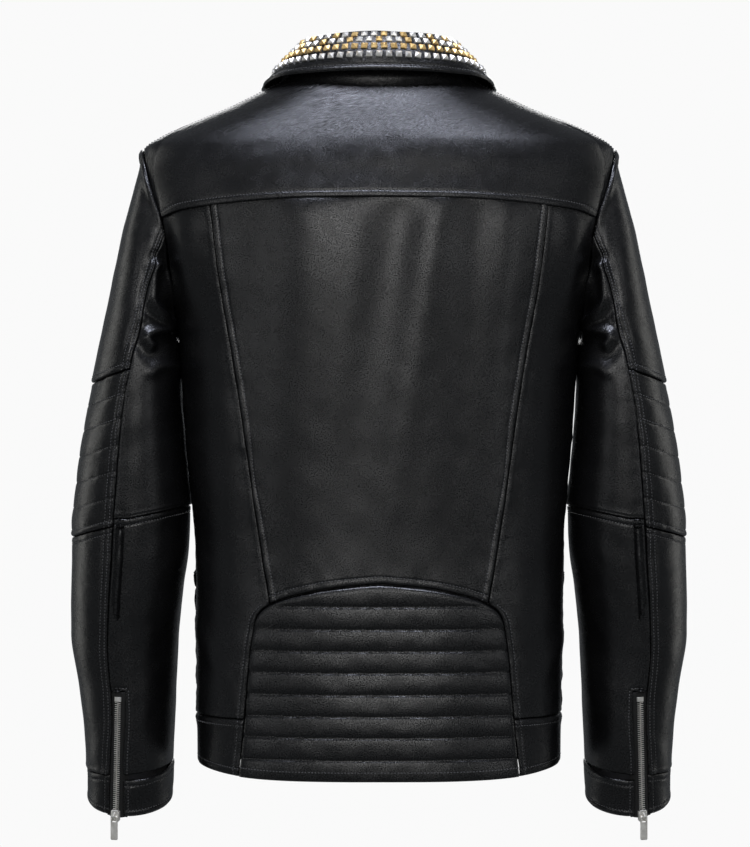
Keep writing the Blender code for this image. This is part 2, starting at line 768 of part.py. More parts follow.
def bar(name, size, place, surface):
    """A bar along a zip: size is its width, thickness and length, in the zip's own frame."""
    obj = box(name, size, (0, 0, 0), surface)
    obj.matrix_world = place
    return obj


def zip_frame(top, low, outwards):
    """The zip's frame at its lower end: Z along it, Y out of the garment. Also its length."""
    along = (top - low).normalized()
    outwards = (outwards - along * outwards.dot(along)).normalized()
    across = outwards.cross(along)
    frame = Matrix((across, outwards, along)).transposed().to_4x4()
    frame.translation = low
    return frame, (top - low).length


def shifted(frame, y, z):
    return frame @ Matrix.Translation((0, y, z))


def zip_hardware(name, frame, slider_at, slider, pull):
    """The slider on its zip, and the pull that hangs plumb from it."""
    body_obj = add(name + "_slider", slider, silver())
    body_obj.matrix_world = shifted(frame, 0, slider_at)
    pull_y = SLIDER_SIZE[1] - 0.0012 + EYE_HEIGHT
    hinge = (shifted(frame, pull_y, slider_at)).translation
    outwards = frame.to_3x3() @ Vector((0, 1, 0))
    outwards = Vector((outwards.x, outwards.y, 0)).normalized()
    across = outwards.cross(Vector((0, 0, 1)))
    place = Matrix((across, outwards, Vector((0, 0, 1)))).transposed().to_4x4()
    place.translation = hinge
    tab = add(name + "_pull", pull, silver())
    tab.matrix_world = place



def mirror_frame(frame):
    """The frame of the same zip on the other side of the jacket."""
    flip = Matrix.Scale(-1, 4, (1, 0, 0))
    return flip @ frame @ flip


def cuff_zip_frame():
    def point(along, turn=0.0):
        return sleeve(BACK_SEAM(along) + zip_window(along) * 0.54 + turn, along)
    top, low = point(sleeve_along(81, ZIP_TOP_Z - 0.004)), point(SLEEVE_END)
    side, other = point(13, 6), point(13, -6)
    outwards = (side - other).cross(top - low)
    if outwards.y > 0:
        outwards = -outwards
    return zip_frame(top, low, outwards)


def pocket_zip_frame():
    top, low = on_front(0.072, -0.405, 0.0022), on_front(0.104, -0.535, 0.0022)
    return zip_frame(top, low, Vector((0.35, 1, 0)))


def zips():
    slider, pull = slider_mesh(), pull_mesh()

    frame, length = cuff_zip_frame()
    for side, place in (("right", frame), ("left", mirror_frame(frame))):
        name = f"cuff_zip_{side}"
        bar(name + "_tape", (TAPE_WIDTH, TAPE_THICK, length), shifted(place, -0.0020, length / 2),
            tape_cloth())
        bar(name + "_teeth", (CHAIN_WIDTH, CHAIN_THICK, length - 0.006),
            shifted(place, -0.0001, length / 2 - 0.003), silver())
        bar(name + "_stop", (0.0066, 0.0026, 0.0046), shifted(place, 0.0001, length - 0.0033), silver())
        zip_hardware(name, place, 0.0012, slider, pull)

    top, low = on_front(0, LAPEL_BREAK_Z + 0.004, -0.0010), on_front(0, HEM_Z, -0.0010)
    frame, length = zip_frame(top, low, Vector((0, 1, 0)))
    half_chain = CHAIN_WIDTH / 2
    for side, sign in (("right", 1), ("left", -1)):
        side_frame = frame @ Matrix.Translation((sign * -0.5 * (half_chain + 0.0003), 0, length / 2))
        bar(f"front_zip_chain_{side}", (half_chain, CHAIN_THICK, length - 0.010), side_frame, silver())
    box_frame = shifted(frame, 0, 0.0025)
    bar("front_zip_box", (0.0076, 0.0028, 0.0044), box_frame, silver())
    zip_hardware("front_zip", frame, length - 0.012, slider, pull)

    frame, length = pocket_zip_frame()
    for side, place in (("right", frame), ("left", mirror_frame(frame))):
        name = f"pocket_zip_{side}"
        bar(name + "_chain", (CHAIN_WIDTH, CHAIN_THICK, length), shifted(place, 0.0014, length / 2),
            silver())
        zip_hardware(name, shifted(place, 0.0014, 0), length - 0.008, slider, pull)


SLEEVE_PIECES = ("sleeve_", "elbow_pad_", "cuff_")


def shoulder_pivots():
    """An empty on each shoulder's turning axis, which carries that sleeve's pieces."""
    for side, sign in (("right", 1), ("left", -1)):
        x, y, z = SHOULDER_PIVOT
        pivot = bpy.data.objects.new(f"shoulder_pivot_{side}", None)
        pivot.location = (sign * x, y, z)
        JACKET.objects.link(pivot)
        for obj in JACKET.objects:
            if obj.name.startswith(SLEEVE_PIECES) and side in obj.name:
                obj.parent = pivot
                obj.matrix_parent_inverse = Matrix.Translation((-sign * x, -y, -z))


def main():
    for obj in list(bpy.data.objects):
        bpy.data.objects.remove(obj)
    bpy.context.scene.collection.children.link(JACKET)
    bpy.context.scene.collection.children.link(CUTTERS)
    yoke()
    back_panels()
    lumbar_pad()
    fronts()
    lapels()
    collar_stand()
    collar_leaf()
    stud_rows()
    linings()
    hanger_loop()
    sleeves()
    zips()
    shoulder_pivots()


main()
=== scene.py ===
"""Looks of the leather riding jacket: leather panels, stitching, studs, zips and lining round the CAD."""

import math

import bpy
import numpy as np
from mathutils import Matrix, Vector


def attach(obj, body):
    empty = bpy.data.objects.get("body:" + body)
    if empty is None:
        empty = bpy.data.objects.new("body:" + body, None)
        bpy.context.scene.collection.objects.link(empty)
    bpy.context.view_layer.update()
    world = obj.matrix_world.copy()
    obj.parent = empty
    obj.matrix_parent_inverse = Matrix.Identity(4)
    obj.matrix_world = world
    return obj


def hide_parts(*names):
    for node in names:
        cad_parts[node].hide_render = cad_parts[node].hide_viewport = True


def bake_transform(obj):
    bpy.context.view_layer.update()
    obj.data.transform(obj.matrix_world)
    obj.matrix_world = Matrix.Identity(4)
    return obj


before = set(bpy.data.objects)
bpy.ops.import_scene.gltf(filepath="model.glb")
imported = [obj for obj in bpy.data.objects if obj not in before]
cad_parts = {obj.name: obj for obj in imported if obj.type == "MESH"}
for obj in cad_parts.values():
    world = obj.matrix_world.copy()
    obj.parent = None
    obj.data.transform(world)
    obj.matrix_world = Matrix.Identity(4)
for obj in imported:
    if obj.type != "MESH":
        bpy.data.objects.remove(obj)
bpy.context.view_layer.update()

# ---- dimensions, in metres, as in the CAD ---------------------------------------------------------
BODY_Y = 0.056                              # the middle of the torso, in front of the hanger loop
HEM_Z = -0.6967
WAIST_SEAM_Z = -0.6385
PAD_CORNER_Z = -0.5262                      # where the princess seams meet the lumbar pad
ARMHOLE_TOP_Z, ARMHOLE_LOW_Z = -0.078, -0.262
YOKE_CORNER_X = 0.2125
LAPEL_BREAK_Z = -0.200
LAPEL_OPENING = 0.071 / 0.170               # how fast the opening widens above the break
ZIP_GAP = 0.0045                            # from the middle to a front's edge
ZIP_TOP_Z = -0.6170                         # the upper end of the cuff zips
PAD_TOP_Z, PAD_LOW_Z = -0.2987, -0.4529     # the elbow pad, on the outside of the arm
PAD_DROP = 0.012
ELBOW_SEAM_Z, CUFF_SEAM_Z = -0.4450, -0.6945
FRONT_SEAM = -75.0                          # the angle of the sleeve's front seam
SLEEVE_END = 14.0                           # the sleeve runs from 0 at the armhole to here
LEATHER, PAD_LEATHER, TURNED_LEATHER = 0.0018, 0.0035, 0.0030
SATIN_THICKNESS = 0.0005
LINING_INSET = 0.0068
STEP, SLEEVE_STEP, FINE_STEP = 0.0034, 0.0032, 0.0030      # between the points of a panel's grid
SIDES = (("right", False), ("left", True))  # the left side is the right side, mirrored
MIRROR = np.array([-1, 1, 1])
RNG = np.random.default_rng(7)


# ---- curves and surfaces --------------------------------------------------------------------------
def curve(*points):
    """A monotone cubic curve through (input, value) points, level beyond its ends."""
    xs, ys = np.array(points, float).T
    steps = np.diff(ys) / np.diff(xs)
    product = steps[:-1] * steps[1:]
    total = np.where(product > 0, steps[:-1] + steps[1:], 1.0)
    slopes = np.concatenate([steps[:1], np.where(product > 0, 2 * product / total, 0.0), steps[-1:]])

    def value(x):
        x = np.clip(x, xs[0], xs[-1])
        i = np.clip(np.searchsorted(xs, x, side="right") - 1, 0, len(xs) - 2)
        width = xs[i + 1] - xs[i]
        t = (x - xs[i]) / width
        return (ys[i] * (1 + 2 * t) * (1 - t) ** 2 + slopes[i] * width * t * (1 - t) ** 2
                + ys[i + 1] * t * t * (3 - 2 * t) + slopes[i + 1] * width * t * t * (t - 1))

    return value


# sizes of the torso, and places of its seams, at each height
half_width = curve(
    (-0.700, 0.1810), (-0.600, 0.1815), (-0.470, 0.1845), (-0.380, 0.1915), (-0.300, 0.1955),
    (-0.262, 0.1980), (-0.200, 0.2140), (-0.140, 0.2320), (-0.100, 0.2390), (-0.078, 0.2340),
    (-0.066, 0.2170), (-0.048, 0.1770), (-0.036, 0.1480), (-0.023, 0.1210), (-0.006, 0.0880),
    (0.004, 0.0740))
back_depth = curve(
    (-0.700, 0.114), (-0.500, 0.112), (-0.400, 0.116), (-0.300, 0.122), (-0.200, 0.126),
    (-0.140, 0.122), (-0.100, 0.113), (-0.070, 0.102), (-0.045, 0.090), (-0.022, 0.076), (0.004, 0.060))
front_depth = curve(
    (-0.700, 0.112), (-0.220, 0.120), (-0.140, 0.113), (-0.100, 0.102), (-0.070, 0.090),
    (-0.045, 0.079), (-0.022, 0.070), (0.004, 0.058))
squareness = curve((-0.700, 2.50), (-0.300, 2.40), (-0.100, 2.20), (0.000, 2.00))
lining_inset = curve((-0.110, 0.0068), (-0.078, 0.0120), (-0.040, 0.0150))
armhole_x = curve(
    (-0.262, 0.1980), (-0.231, 0.2010), (-0.190, 0.2075), (-0.150, 0.2135), (-0.1275, 0.2210),
    (-0.105, 0.2280), (-0.078, 0.2340))
# heights of seams at each distance from the middle
yoke_seam_z = curve(
    (0.000, -0.1337), (0.083, -0.1345), (0.128, -0.1370), (0.164, -0.1400), (0.195, -0.1435),
    (0.2125, -0.1490))
princess_x = curve(
    (-0.530, 0.1050), (-0.483, 0.1130), (-0.414, 0.1235), (-0.347, 0.1330), (-0.279, 0.1435),
    (-0.2125, 0.1550), (-0.141, 0.1640))
pad_half_width = curve((-0.692, 0.1370), (-0.639, 0.1312), (-0.5785, 0.1255), (-0.545, 0.1205))
pad_top_z = curve(
    (0.000, -0.5057), (0.048, -0.5105), (0.078, -0.5165), (0.103, -0.5245), (0.1125, -0.5305),
    (0.118, -0.5375), (0.1205, -0.5450))
neck_z = curve((0, -0.0220), (45, -0.0160), (90, -0.0060))
neck_front_angle = curve((-0.030, 147), (-0.022, 128), (-0.014, 108), (-0.008, 93))
quilt_edge_angle = curve(
    (-0.6385, 126), (-0.560, 125), (-0.530, 121), (-0.515, 114), (-0.505, 103), (-0.500, 91.5))

# the sleeve's outer and inner lines, its depth and its turns, at each place along it
outer_z = curve(
    (0, -0.078), (1, -0.112), (2, -0.150), (3, -0.195), (4, -0.245), (5, -0.300), (6, -0.355),
    (8, -0.460), (10, -0.560), (12, -0.660), (14, -0.7285))
inner_z = curve(
    (0, -0.262), (1, -0.270), (2, -0.284), (3, -0.304), (4, -0.332), (5, -0.366), (6, -0.402),
    (8, -0.475), (10, -0.560), (12, -0.660), (14, -0.7285))
outer_x = curve(
    (0, 0.2340), (1, 0.2435), (2, 0.2540), (4, 0.2735), (6, 0.2953), (7, 0.3022), (8, 0.3070),
    (10, 0.3090), (11, 0.3022), (12, 0.2970), (14, 0.2938))
inner_x = curve(
    (0, 0.1980), (1, 0.2010), (2, 0.2016), (4, 0.1977), (6, 0.1917), (7, 0.1888), (8, 0.1902),
    (9, 0.1962), (10, 0.2008), (12, 0.2060), (14, 0.2092))
sleeve_depth = curve((0, 0.0520), (2, 0.0640), (5, 0.0740), (8, 0.0690), (11, 0.0600), (14, 0.0520))
sleeve_forward = curve((0, 0.000), (4, 0.004), (8, 0.013), (11, 0.025), (14, 0.036))
sleeve_tilt = curve((0, 0.0), (4, 2.0), (8, 7.0), (12, 14.0), (14, 16.5))
back_seam = curve(
    (0, 86.0), (2, 88.0), (3, 89.0), (4, 81.5), (5.3, 76.5), (8, 75.5), (11, 75.5), (12.3, 68.5),
    (14, 63.5))
zip_window = curve((11, 16.0), (14, 22.0))


def body(angle, z, inset=0.0):
    """Points of the torso's outer surface. The angle is 0 at the centre back and 180 at the front."""
    angle, z = np.broadcast_arrays(np.radians(angle), z)
    a = half_width(z) - inset
    s, c = np.sin(angle), np.cos(angle)
    b = np.where(c > 0, back_depth(z), front_depth(z)) - inset
    power = 2 / squareness(z)
    x = np.sign(s) * a * np.abs(s) ** power
    y = np.sign(c) * b * np.abs(c) ** power
    return np.stack([x, BODY_Y - y, z], -1)


def hem_z(angle):
    """The jacket's lower edge, which rises towards the sides."""
    return HEM_Z + 0.010 * np.sin(np.radians(angle)) ** 4


def angle_at(x, z, front=False):
    """The angle at which the torso's surface is at x, at this height."""
    share = np.minimum(1.0, np.abs(x) / half_width(z)) ** (squareness(z) / 2)
    angle = np.degrees(np.arcsin(share))
    return np.where(np.asarray(x) < 0, -1, 1) * (180 - angle if front else angle)


def armhole_angle(z):
    """The back's outer edge: the armhole's seam, and the middle of the side below it."""
    inside = (z > ARMHOLE_LOW_Z) & (z < ARMHOLE_TOP_Z)
    return np.where(inside, angle_at(armhole_x(z), z), 90.0)


def lapel_roll_x(z):
    """Where the lapel folds over, beside the opening."""
    return ZIP_GAP + (z - LAPEL_BREAK_Z) * LAPEL_OPENING


def armhole_loop(angle):
    """Points of the right armhole, at angles round the sleeve."""
    share = (1 - np.cos(np.radians(angle))) / 2
    z = ARMHOLE_TOP_Z + (ARMHOLE_LOW_Z - ARMHOLE_TOP_Z) * share
    on_body = angle_at(armhole_x(z), z)
    return body(np.where(np.sin(np.radians(angle)) >= 0, on_body, 180 - on_body), z)


def sleeve_section(angle, along, inset=0.0):
    """Points of an oval whose ends are on the sleeve's outer and inner lines."""
    angle, along = np.broadcast_arrays(angle, along)
    zero = np.zeros(angle.shape)
    outer = np.stack([outer_x(along), zero, outer_z(along)], -1)
    inner = np.stack([inner_x(along), zero, inner_z(along)], -1)
    half = (outer - inner) / 2
    half = half * (1 - inset / np.linalg.norm(half, axis=-1, keepdims=True))
    depth = sleeve_depth(along) - inset
    tilt = np.radians(sleeve_tilt(along))
    s, c = np.sin(np.radians(angle)), np.cos(np.radians(angle))
    across = np.stack([zero, -np.cos(tilt), -np.sin(tilt)], -1) * (depth * s)[..., None]
    centre = (outer + inner) / 2
    centre[..., 1] = BODY_Y + sleeve_forward(along)
    return centre + half * c[..., None] + across


def sleeve(angle, along, inset=0.0):
    """Points of the right sleeve. The angle is 0 on the outside, 90 at the back, 180 inside."""
    angle, along = np.broadcast_arrays(np.asarray(angle, float), np.asarray(along, float))
    settle = np.clip(1 - along / 4, 0, 1)
    settle = (settle * settle * (3 - 2 * settle))[..., None]
    to_armhole = armhole_loop(angle) - sleeve_section(angle, 0.0 * along)
    return sleeve_section(angle, along, inset) + to_armhole * settle


def sleeve_along(angle, z):
    """How far along the sleeve its surface reaches height z at this angle."""
    angle, z = np.broadcast_arrays(np.asarray(angle, float), np.asarray(z, float))
    low, high = np.zeros(angle.shape), np.full(angle.shape, SLEEVE_END)
    for _ in range(24):
        middle = (low + high) / 2
        above = sleeve(angle, middle)[..., 2] > z
        low, high = np.where(above, middle, low), np.where(above, high, middle)
    return (low + high) / 2


# ---- materials ------------------------------------------------------------------------------------
class Nodes:
    """A small helper that adds and links shader nodes."""

    def __init__(self, name):
        self.material = bpy.data.materials.new(name)
        self.material.use_nodes = True
        self.tree = self.material.node_tree
        self.shader = self.tree.nodes["Principled BSDF"]

    def add(self, kind, inputs=None, **settings):
        node = self.tree.nodes.new(kind)
        for key, value in settings.items():
            setattr(node, key, value)
        for key, value in (inputs or {}).items():
            if isinstance(value, bpy.types.NodeSocket):
                self.tree.links.new(value, node.inputs[key])
            else:
                node.inputs[key].default_value = value
        return node

    def uv(self):
        """Coordinates on the flat panel, in millimetres."""
        source = self.add("ShaderNodeUVMap", uv_map="cut")
        return self.add("ShaderNodeMapping", {"Vector": source.outputs[0], "Scale": (1000.0,) * 3}).outputs[0]

    def noise(self, place, scale, detail, **settings):
        return self.add("ShaderNodeTexNoise", {"Vector": place, "Scale": scale, "Detail": detail}, **settings)

    def bump(self, height, strength, distance, normal=None):
        inputs = {"Height": height, "Strength": strength, "Distance": distance}
        if normal is not None:
            inputs["Normal"] = normal
        return self.add("ShaderNodeBump", inputs).outputs[0]

    def ramp(self, value, low, high, out_low, out_high):
        return self.add("ShaderNodeMapRange", {
            "Value": value, "From Min": low, "From Max": high, "To Min": out_low, "To Max": out_high,
        }).outputs[0]

    def math(self, operation, a, b=0.0):
        return self.add("ShaderNodeMath", {0: a, 1: b}, operation=operation).outputs[0]

    def mix(self, factor, a, b):
        node = self.add("ShaderNodeMix", {0: factor}, data_type="RGBA")
        for socket, value in ((node.inputs[6], a), (node.inputs[7], b)):
            if isinstance(value, bpy.types.NodeSocket):
                self.tree.links.new(value, socket)
            else:
                socket.default_value = value
        return node.outputs[2]

    def set(self, **values):
        for key, value in values.items():
            socket = self.shader.inputs[key.replace("_", " ")]
            if isinstance(value, bpy.types.NodeSocket):
                self.tree.links.new(value, socket)
            else:
                socket.default_value = value


def leather_material(name, dark, light, roughness, grain):
    """Fine-grained leather: pebbles between narrow dull furrows, over a smooth, slightly uneven skin."""
    n = Nodes(name)
    uv = n.uv()
    cells = n.add("ShaderNodeTexVoronoi", {"Vector": uv, "Scale": 0.62, "Randomness": 1.0},
                  feature="DISTANCE_TO_EDGE", voronoi_dimensions="2D")
    pebble = n.ramp(cells.outputs[0], 0.0, 0.22, 0.0, 1.0)
    fine = n.noise(uv, 0.85, 1.0, noise_dimensions="2D").outputs[0]
    crease = n.noise(uv, 0.070, 3.0, noise_dimensions="2D").outputs[0]
    broad = n.noise(uv, 0.016, 3.0, noise_dimensions="2D").outputs[0]
    height = n.math("MULTIPLY_ADD", pebble, 0.45)
    n.tree.links.new(n.math("MULTIPLY", fine, 0.9), height.node.inputs[2])
    grained = n.bump(height, grain, 0.00034)
    # the colour is lighter at random (broad tone), and lighter along seam edges and quilt crests: partly
    # wear, partly painted highlight
    wear_and_highlight = n.add("ShaderNodeAttribute", attribute_name="wear_and_highlight").outputs["Fac"]
    tone = n.math("ADD", n.ramp(broad, 0.35, 0.7, 0.0, 0.5), n.math("MULTIPLY", wear_and_highlight, 0.5))
    gloss = n.math("MULTIPLY", n.ramp(fine, 0.36, 0.66, 0.20, 0.95), n.ramp(pebble, 0.0, 1.0, 0.60, 1.0))
    n.set(Base_Color=n.mix(tone, dark, light), Roughness=n.ramp(crease, 0.3, 0.7, *roughness),
          Normal=n.bump(crease, 0.05, 0.0018, grained), Specular_IOR_Level=gloss)
    return n.material


def cloth_material(name, colour, roughness, threads, strength, sheen):
    """A woven cloth: two crossed sets of threads."""
    n = Nodes(name)
    uv = n.uv()
    waves = [n.add("ShaderNodeTexWave", {"Vector": uv, "Scale": threads, "Distortion": 0.4},
                   bands_direction=way).outputs[1] for way in ("X", "Y")]
    weave = n.math("MAXIMUM", *waves)
    lighter = tuple(min(1.0, c * 1.8) for c in colour[:3]) + (1,)
    n.set(Base_Color=n.mix(weave, colour, lighter), Roughness=roughness,
          Normal=n.bump(weave, strength, 0.0002), Sheen_Weight=sheen)
    return n.material


def metal_material(name, colour, dark, roughness, metallic=0.8):
    """Plated metal with fine scratches, duller in places."""
    n = Nodes(name)
    place = n.add("ShaderNodeTexCoord").outputs["Object"]
    scratch, patch = n.noise(place, 900.0, 4.0).outputs[0], n.noise(place, 160.0, 2.0).outputs[0]
    n.set(Base_Color=n.mix(n.ramp(patch, 0.35, 0.65, 0.0, 1.0), colour, dark), Metallic=metallic,
          Roughness=n.ramp(scratch, 0.3, 0.7, roughness, roughness + 0.14),
          Normal=n.bump(scratch, 0.12, 0.0001))
    return n.material


def thread_material(name, colour):
    """Twisted thread, lighter on its turns."""
    n = Nodes(name)
    place = n.add("ShaderNodeTexCoord").outputs["Object"]
    twist = n.add("ShaderNodeTexWave", {"Vector": place, "Scale": 700.0, "Distortion": 1.0},
                  bands_direction="DIAGONAL").outputs[1]
    lighter = tuple(c * 1.5 for c in colour[:3]) + (1,)
    n.set(Base_Color=n.mix(twist, colour, lighter), Roughness=0.55, Normal=n.bump(twist, 0.4, 0.0001),
          Sheen_Weight=0.2)
    return n.material


LEATHER_SHADE = leather_material(
    "black_leather", (0.0040, 0.0040, 0.0043, 1), (0.0095, 0.0095, 0.0100, 1), (0.22, 0.30), 0.30)
SATIN = cloth_material("black_satin_lining", (0.010, 0.010, 0.012, 1), 0.42, 1.6, 0.25, 0.15)
TAPE = cloth_material("zip_tape", (0.004, 0.004, 0.004, 1), 0.85, 0.7, 0.8, 0.05)
NICKEL = metal_material("nickel", (0.90, 0.88, 0.83, 1), (0.72, 0.70, 0.65, 1), 0.32)
ZIP_NICKEL = metal_material("zip_nickel", (0.95, 0.93, 0.88, 1), (0.78, 0.76, 0.71, 1), 0.28, 0.55)
GILT = metal_material("gilt", (0.84, 0.60, 0.27, 1), (0.60, 0.40, 0.15, 1), 0.36)
THREAD = thread_material("black_thread", (0.045, 0.045, 0.047, 1))


# ---- meshes from grids ----------------------------------------------------------------------------
def finish_mesh(name, verts, faces, material, uv=None, wear_and_highlight=None):
    """A smooth object from points and faces, with its flat coordinates and its lighter edges, partly wear and
    partly painted highlight.
    """
    mesh = bpy.data.meshes.new(name)
    mesh.from_pydata(verts, [], faces)
    if uv is not None:
        layer = mesh.uv_layers.new(name="cut")
        index = np.empty(len(mesh.loops), np.int32)
        mesh.loops.foreach_get("vertex_index", index)
        layer.data.foreach_set("uv", uv[index].astype(np.float32).ravel())
    # lighter edges and crests: partly wear, partly painted highlight
    if wear_and_highlight is not None:
        mesh.attributes.new("wear_and_highlight", "FLOAT", "POINT").data.foreach_set("value", wear_and_highlight.astype(np.float32))
    mesh.materials.append(material)
    mesh.shade_smooth()
    obj = bpy.data.objects.new(name, mesh)
    bpy.context.scene.collection.objects.link(obj)
    return obj


def grid_faces(rows, cols, closed=False, flip=False):
    """The faces of a grid of points; a closed grid joins its last column to its first."""
    r = np.arange(rows - 1)[:, None]
    c = np.arange(cols if closed else cols - 1)[None, :]
    d = (c + 1) % cols
    quads = np.stack([r * cols + c, r * cols + d, (r + 1) * cols + d, (r + 1) * cols + c], -1).reshape(-1, 4)
    return quads[:, ::-1] if flip else quads


def unit(v):
    return v / np.linalg.norm(v, axis=-1, keepdims=True)


def run_length(points):
    """How far along a line of points each one lies."""
    return np.concatenate([[0], np.cumsum(np.linalg.norm(np.diff(points, axis=0), axis=1))])


def normals_of(p):
    """Outward normals of a grid whose rows run left to right and climb, seen from outside."""
    across, up = np.gradient(p, axis=1), np.gradient(p, axis=0)
    n = np.cross(across, up)
    return n / np.maximum(np.linalg.norm(n, axis=-1, keepdims=True), 1e-12)


def bell(d, width):
    return np.exp(-(d / width) ** 2)


def fixed(value):
    """A limit that is the same everywhere."""
    return lambda other: value + 0 * other


def ripple(s, t, wavelength, seed, count=9):
    """Smooth noise from -1 to 1 over two coordinates in metres, the same each run."""
    rng = np.random.default_rng(seed)
    total = 0.0
    for _ in range(count):
        turn, size, phase = rng.uniform(0, math.tau), rng.uniform(0.6, 1.5), rng.uniform(0, math.tau)
        k = math.tau / (wavelength * size)
        total = total + np.sin(k * (s * math.cos(turn) + t * math.sin(turn)) + phase)
    return total / math.sqrt(count / 2) / 1.6


FINE_TICKS = [0.0, 0.0005, 0.0010, 0.0015, 0.0021, 0.0029, 0.0038, 0.0047, 0.0056, 0.0064, 0.0072, 0.0081,
              0.0092, 0.0106]


def ticks(length, step=STEP, low_fine=True, high_fine=True):
    """Shares from 0 to 1, about step apart, and close together beside an end that has a seam."""
    low = FINE_TICKS if low_fine else [0.0]
    high = [length - f for f in FINE_TICKS[::-1]] if high_fine else [length]
    middle = max(1, round((high[0] - low[-1]) / step))
    inner = np.linspace(low[-1], high[0], middle + 1)[1:-1]
    return np.concatenate([low, inner, high]) / length


class Patch:
    """A leather or cloth panel as a grid of points, with its distances from its four edges."""

    def __init__(self, points, seed):
        self.p = points
        self.n = normals_of(points)
        across = np.linalg.norm(np.diff(points, axis=1), axis=-1)
        up = np.linalg.norm(np.diff(points, axis=0), axis=-1)
        self.u = np.concatenate([np.zeros((points.shape[0], 1)), np.cumsum(across, axis=1)], axis=1)
        self.v = np.concatenate([np.zeros((1, points.shape[1])), np.cumsum(up, axis=0)], axis=0)
        self.edge = {"left": self.u, "right": self.u[:, -1:] - self.u,
                     "low": self.v, "high": self.v[-1:, :] - self.v}
        self.seed = seed
        # how much lighter the colour is at each point: partly wear, partly painted highlight on edges and
        # crests
        self.wear_and_highlight = np.zeros(points.shape[:2])
        self.keep = None
        self.flat = (float(self.u[:, -1].max()), float(self.v[-1].max()))
        area = float((across[:-1] * (up[:, :-1] + up[:, 1:]) / 2).sum())
        self.cut = min(max(area, 0.31 * self.flat[0] * self.flat[1]), self.flat[0] * self.flat[1])

    def push(self, amount):
        self.p = self.p + self.n * np.asarray(amount)[..., None]

    def seam(self, *sides, depth=0.0015, width=0.0007):
        """Turns edges down into their seams, with the leather slightly full beside them."""
        for side in sides:
            d = self.edge[side]
            along = self.v if side in ("left", "right") else self.u
            pucker = ripple(along, 0 * along, 0.011, self.seed + len(side)) * bell(d - 0.003, 0.007)
            slow = ripple(along, d, 0.035, self.seed + 31 + len(side)) * np.exp(-d / 0.016)
            full = 0.00022 * pucker + 0.0004 * slow + 0.0003 * bell(d - 0.0035, 0.0022)
            self.push(-depth * bell(d, width) + full)
            # the colour is painted lighter just beside the seam: partly wear, partly a painted highlight on
            # the turned edge
            self.wear_and_highlight = np.maximum(self.wear_and_highlight, 0.7 * bell(d - 0.0028, 0.0018))

    def sew(self, *rows, depth=0.0006, width=0.0008):
        """Rows of stitching, each pulled into the leather at a distance from an edge."""
        for side, at in rows:
            self.push(-depth * bell(self.edge[side] - at, width))

    def lines(self, *rows):
        """Points and normals along each row of stitching."""
        return [self.line(side, at) for side, at in rows]

    def line(self, side, at):
        """Points and normals along a line at this distance from an edge."""
        d, p, n = self.edge[side], self.p, normals_of(self.p)
        if side in ("low", "high"):
            d, p, n = d.T, p.transpose(1, 0, 2), n.transpose(1, 0, 2)
        if side in ("right", "high"):
            d, p, n = d[:, ::-1], p[:, ::-1], n[:, ::-1]
        i = np.clip((d < at).sum(axis=1), 1, d.shape[1] - 1)
        rows = np.arange(d.shape[0])
        t = ((at - d[rows, i - 1]) / np.maximum(d[rows, i] - d[rows, i - 1], 1e-9))[:, None]
        points = p[rows, i - 1] * (1 - t) + p[rows, i] * t
        normals = n[rows, i - 1] * (1 - t) + n[rows, i] * t
        return points, normals

    def make(self, name, thickness=LEATHER, material=LEATHER_SHADE, mirror=False):
        """The panel as a piece; its flat coordinates start somewhere else for each seed."""
        rows, cols = self.p.shape[:2]
        points = self.p * MIRROR if mirror else self.p
        shift = np.random.default_rng(self.seed).uniform(0, 3, 2)
        uv = np.stack([self.u, self.v], -1).reshape(-1, 2) + shift
        faces = grid_faces(rows, cols, flip=mirror)
        if self.keep is not None:
            faces = faces[self.keep.ravel()]
        obj = finish_mesh(name, points.reshape(-1, 3), faces, material, uv, self.wear_and_highlight.ravel())
        solid = obj.modifiers.new("thickness", "SOLIDIFY")
        solid.thickness = thickness
        solid.offset = -1
        return obj


STITCH, STITCH_GAP, THREAD_RADIUS = 0.0021, 0.0011, 0.00050
STITCH_LIFT = (-0.0005, 0.00022, 0.00022, -0.0005)      # its ends dip into the leather


def stitches(name, lines, mirror):
    """Separate stitches of thread along lines of (points, normals), as one piece."""
    verts, faces = [], []
    ring = [(math.cos(a), math.sin(a)) for a in np.arange(4) * math.pi / 2]
    for points, normals in lines:
        length = run_length(points)
        count = int((length[-1] - STITCH_GAP) / (STITCH + STITCH_GAP))
        if count < 1:
            continue
        starts = STITCH_GAP + (STITCH + STITCH_GAP) * np.arange(count)
        stations = starts[:, None] + np.array([0, 0.18, 0.82, 1.0]) * STITCH
        at = np.stack([np.interp(stations, length, points[:, k]) for k in range(3)], -1)
        normal = unit(np.stack([np.interp(stations, length, normals[:, k]) for k in range(3)], -1))
        side = np.cross(normal, unit(at[:, -1:] - at[:, :1]))
        for s in range(count):
            base = len(verts)
            verts.append(at[s, 0] + normal[s, 0] * STITCH_LIFT[0])
            for k in (1, 2):
                for a, b in ring:
                    up = STITCH_LIFT[k] + THREAD_RADIUS * b
                    verts.append(at[s, k] + normal[s, k] * up + side[s, k] * THREAD_RADIUS * a)
            verts.append(at[s, 3] + normal[s, 3] * STITCH_LIFT[3])
            for j in range(4):
                k = (j + 1) % 4
                faces.append((base, base + 1 + k, base + 1 + j))
                faces.append((base + 1 + j, base + 1 + k, base + 5 + k, base + 5 + j))
                faces.append((base + 9, base + 5 + j, base + 5 + k))
    verts = np.array(verts)
    if mirror:
        verts = verts * MIRROR
        faces = [f[::-1] for f in faces]
    return finish_mesh(name, verts, faces, THREAD)


SEWN = []


def sew_on(name, lines, mirror=False, fix=lambda obj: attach(obj, "jacket")):
    """Notes rows of stitching; sew_all makes them when all the panels are there."""
    SEWN.append((name, lines, mirror, fix))


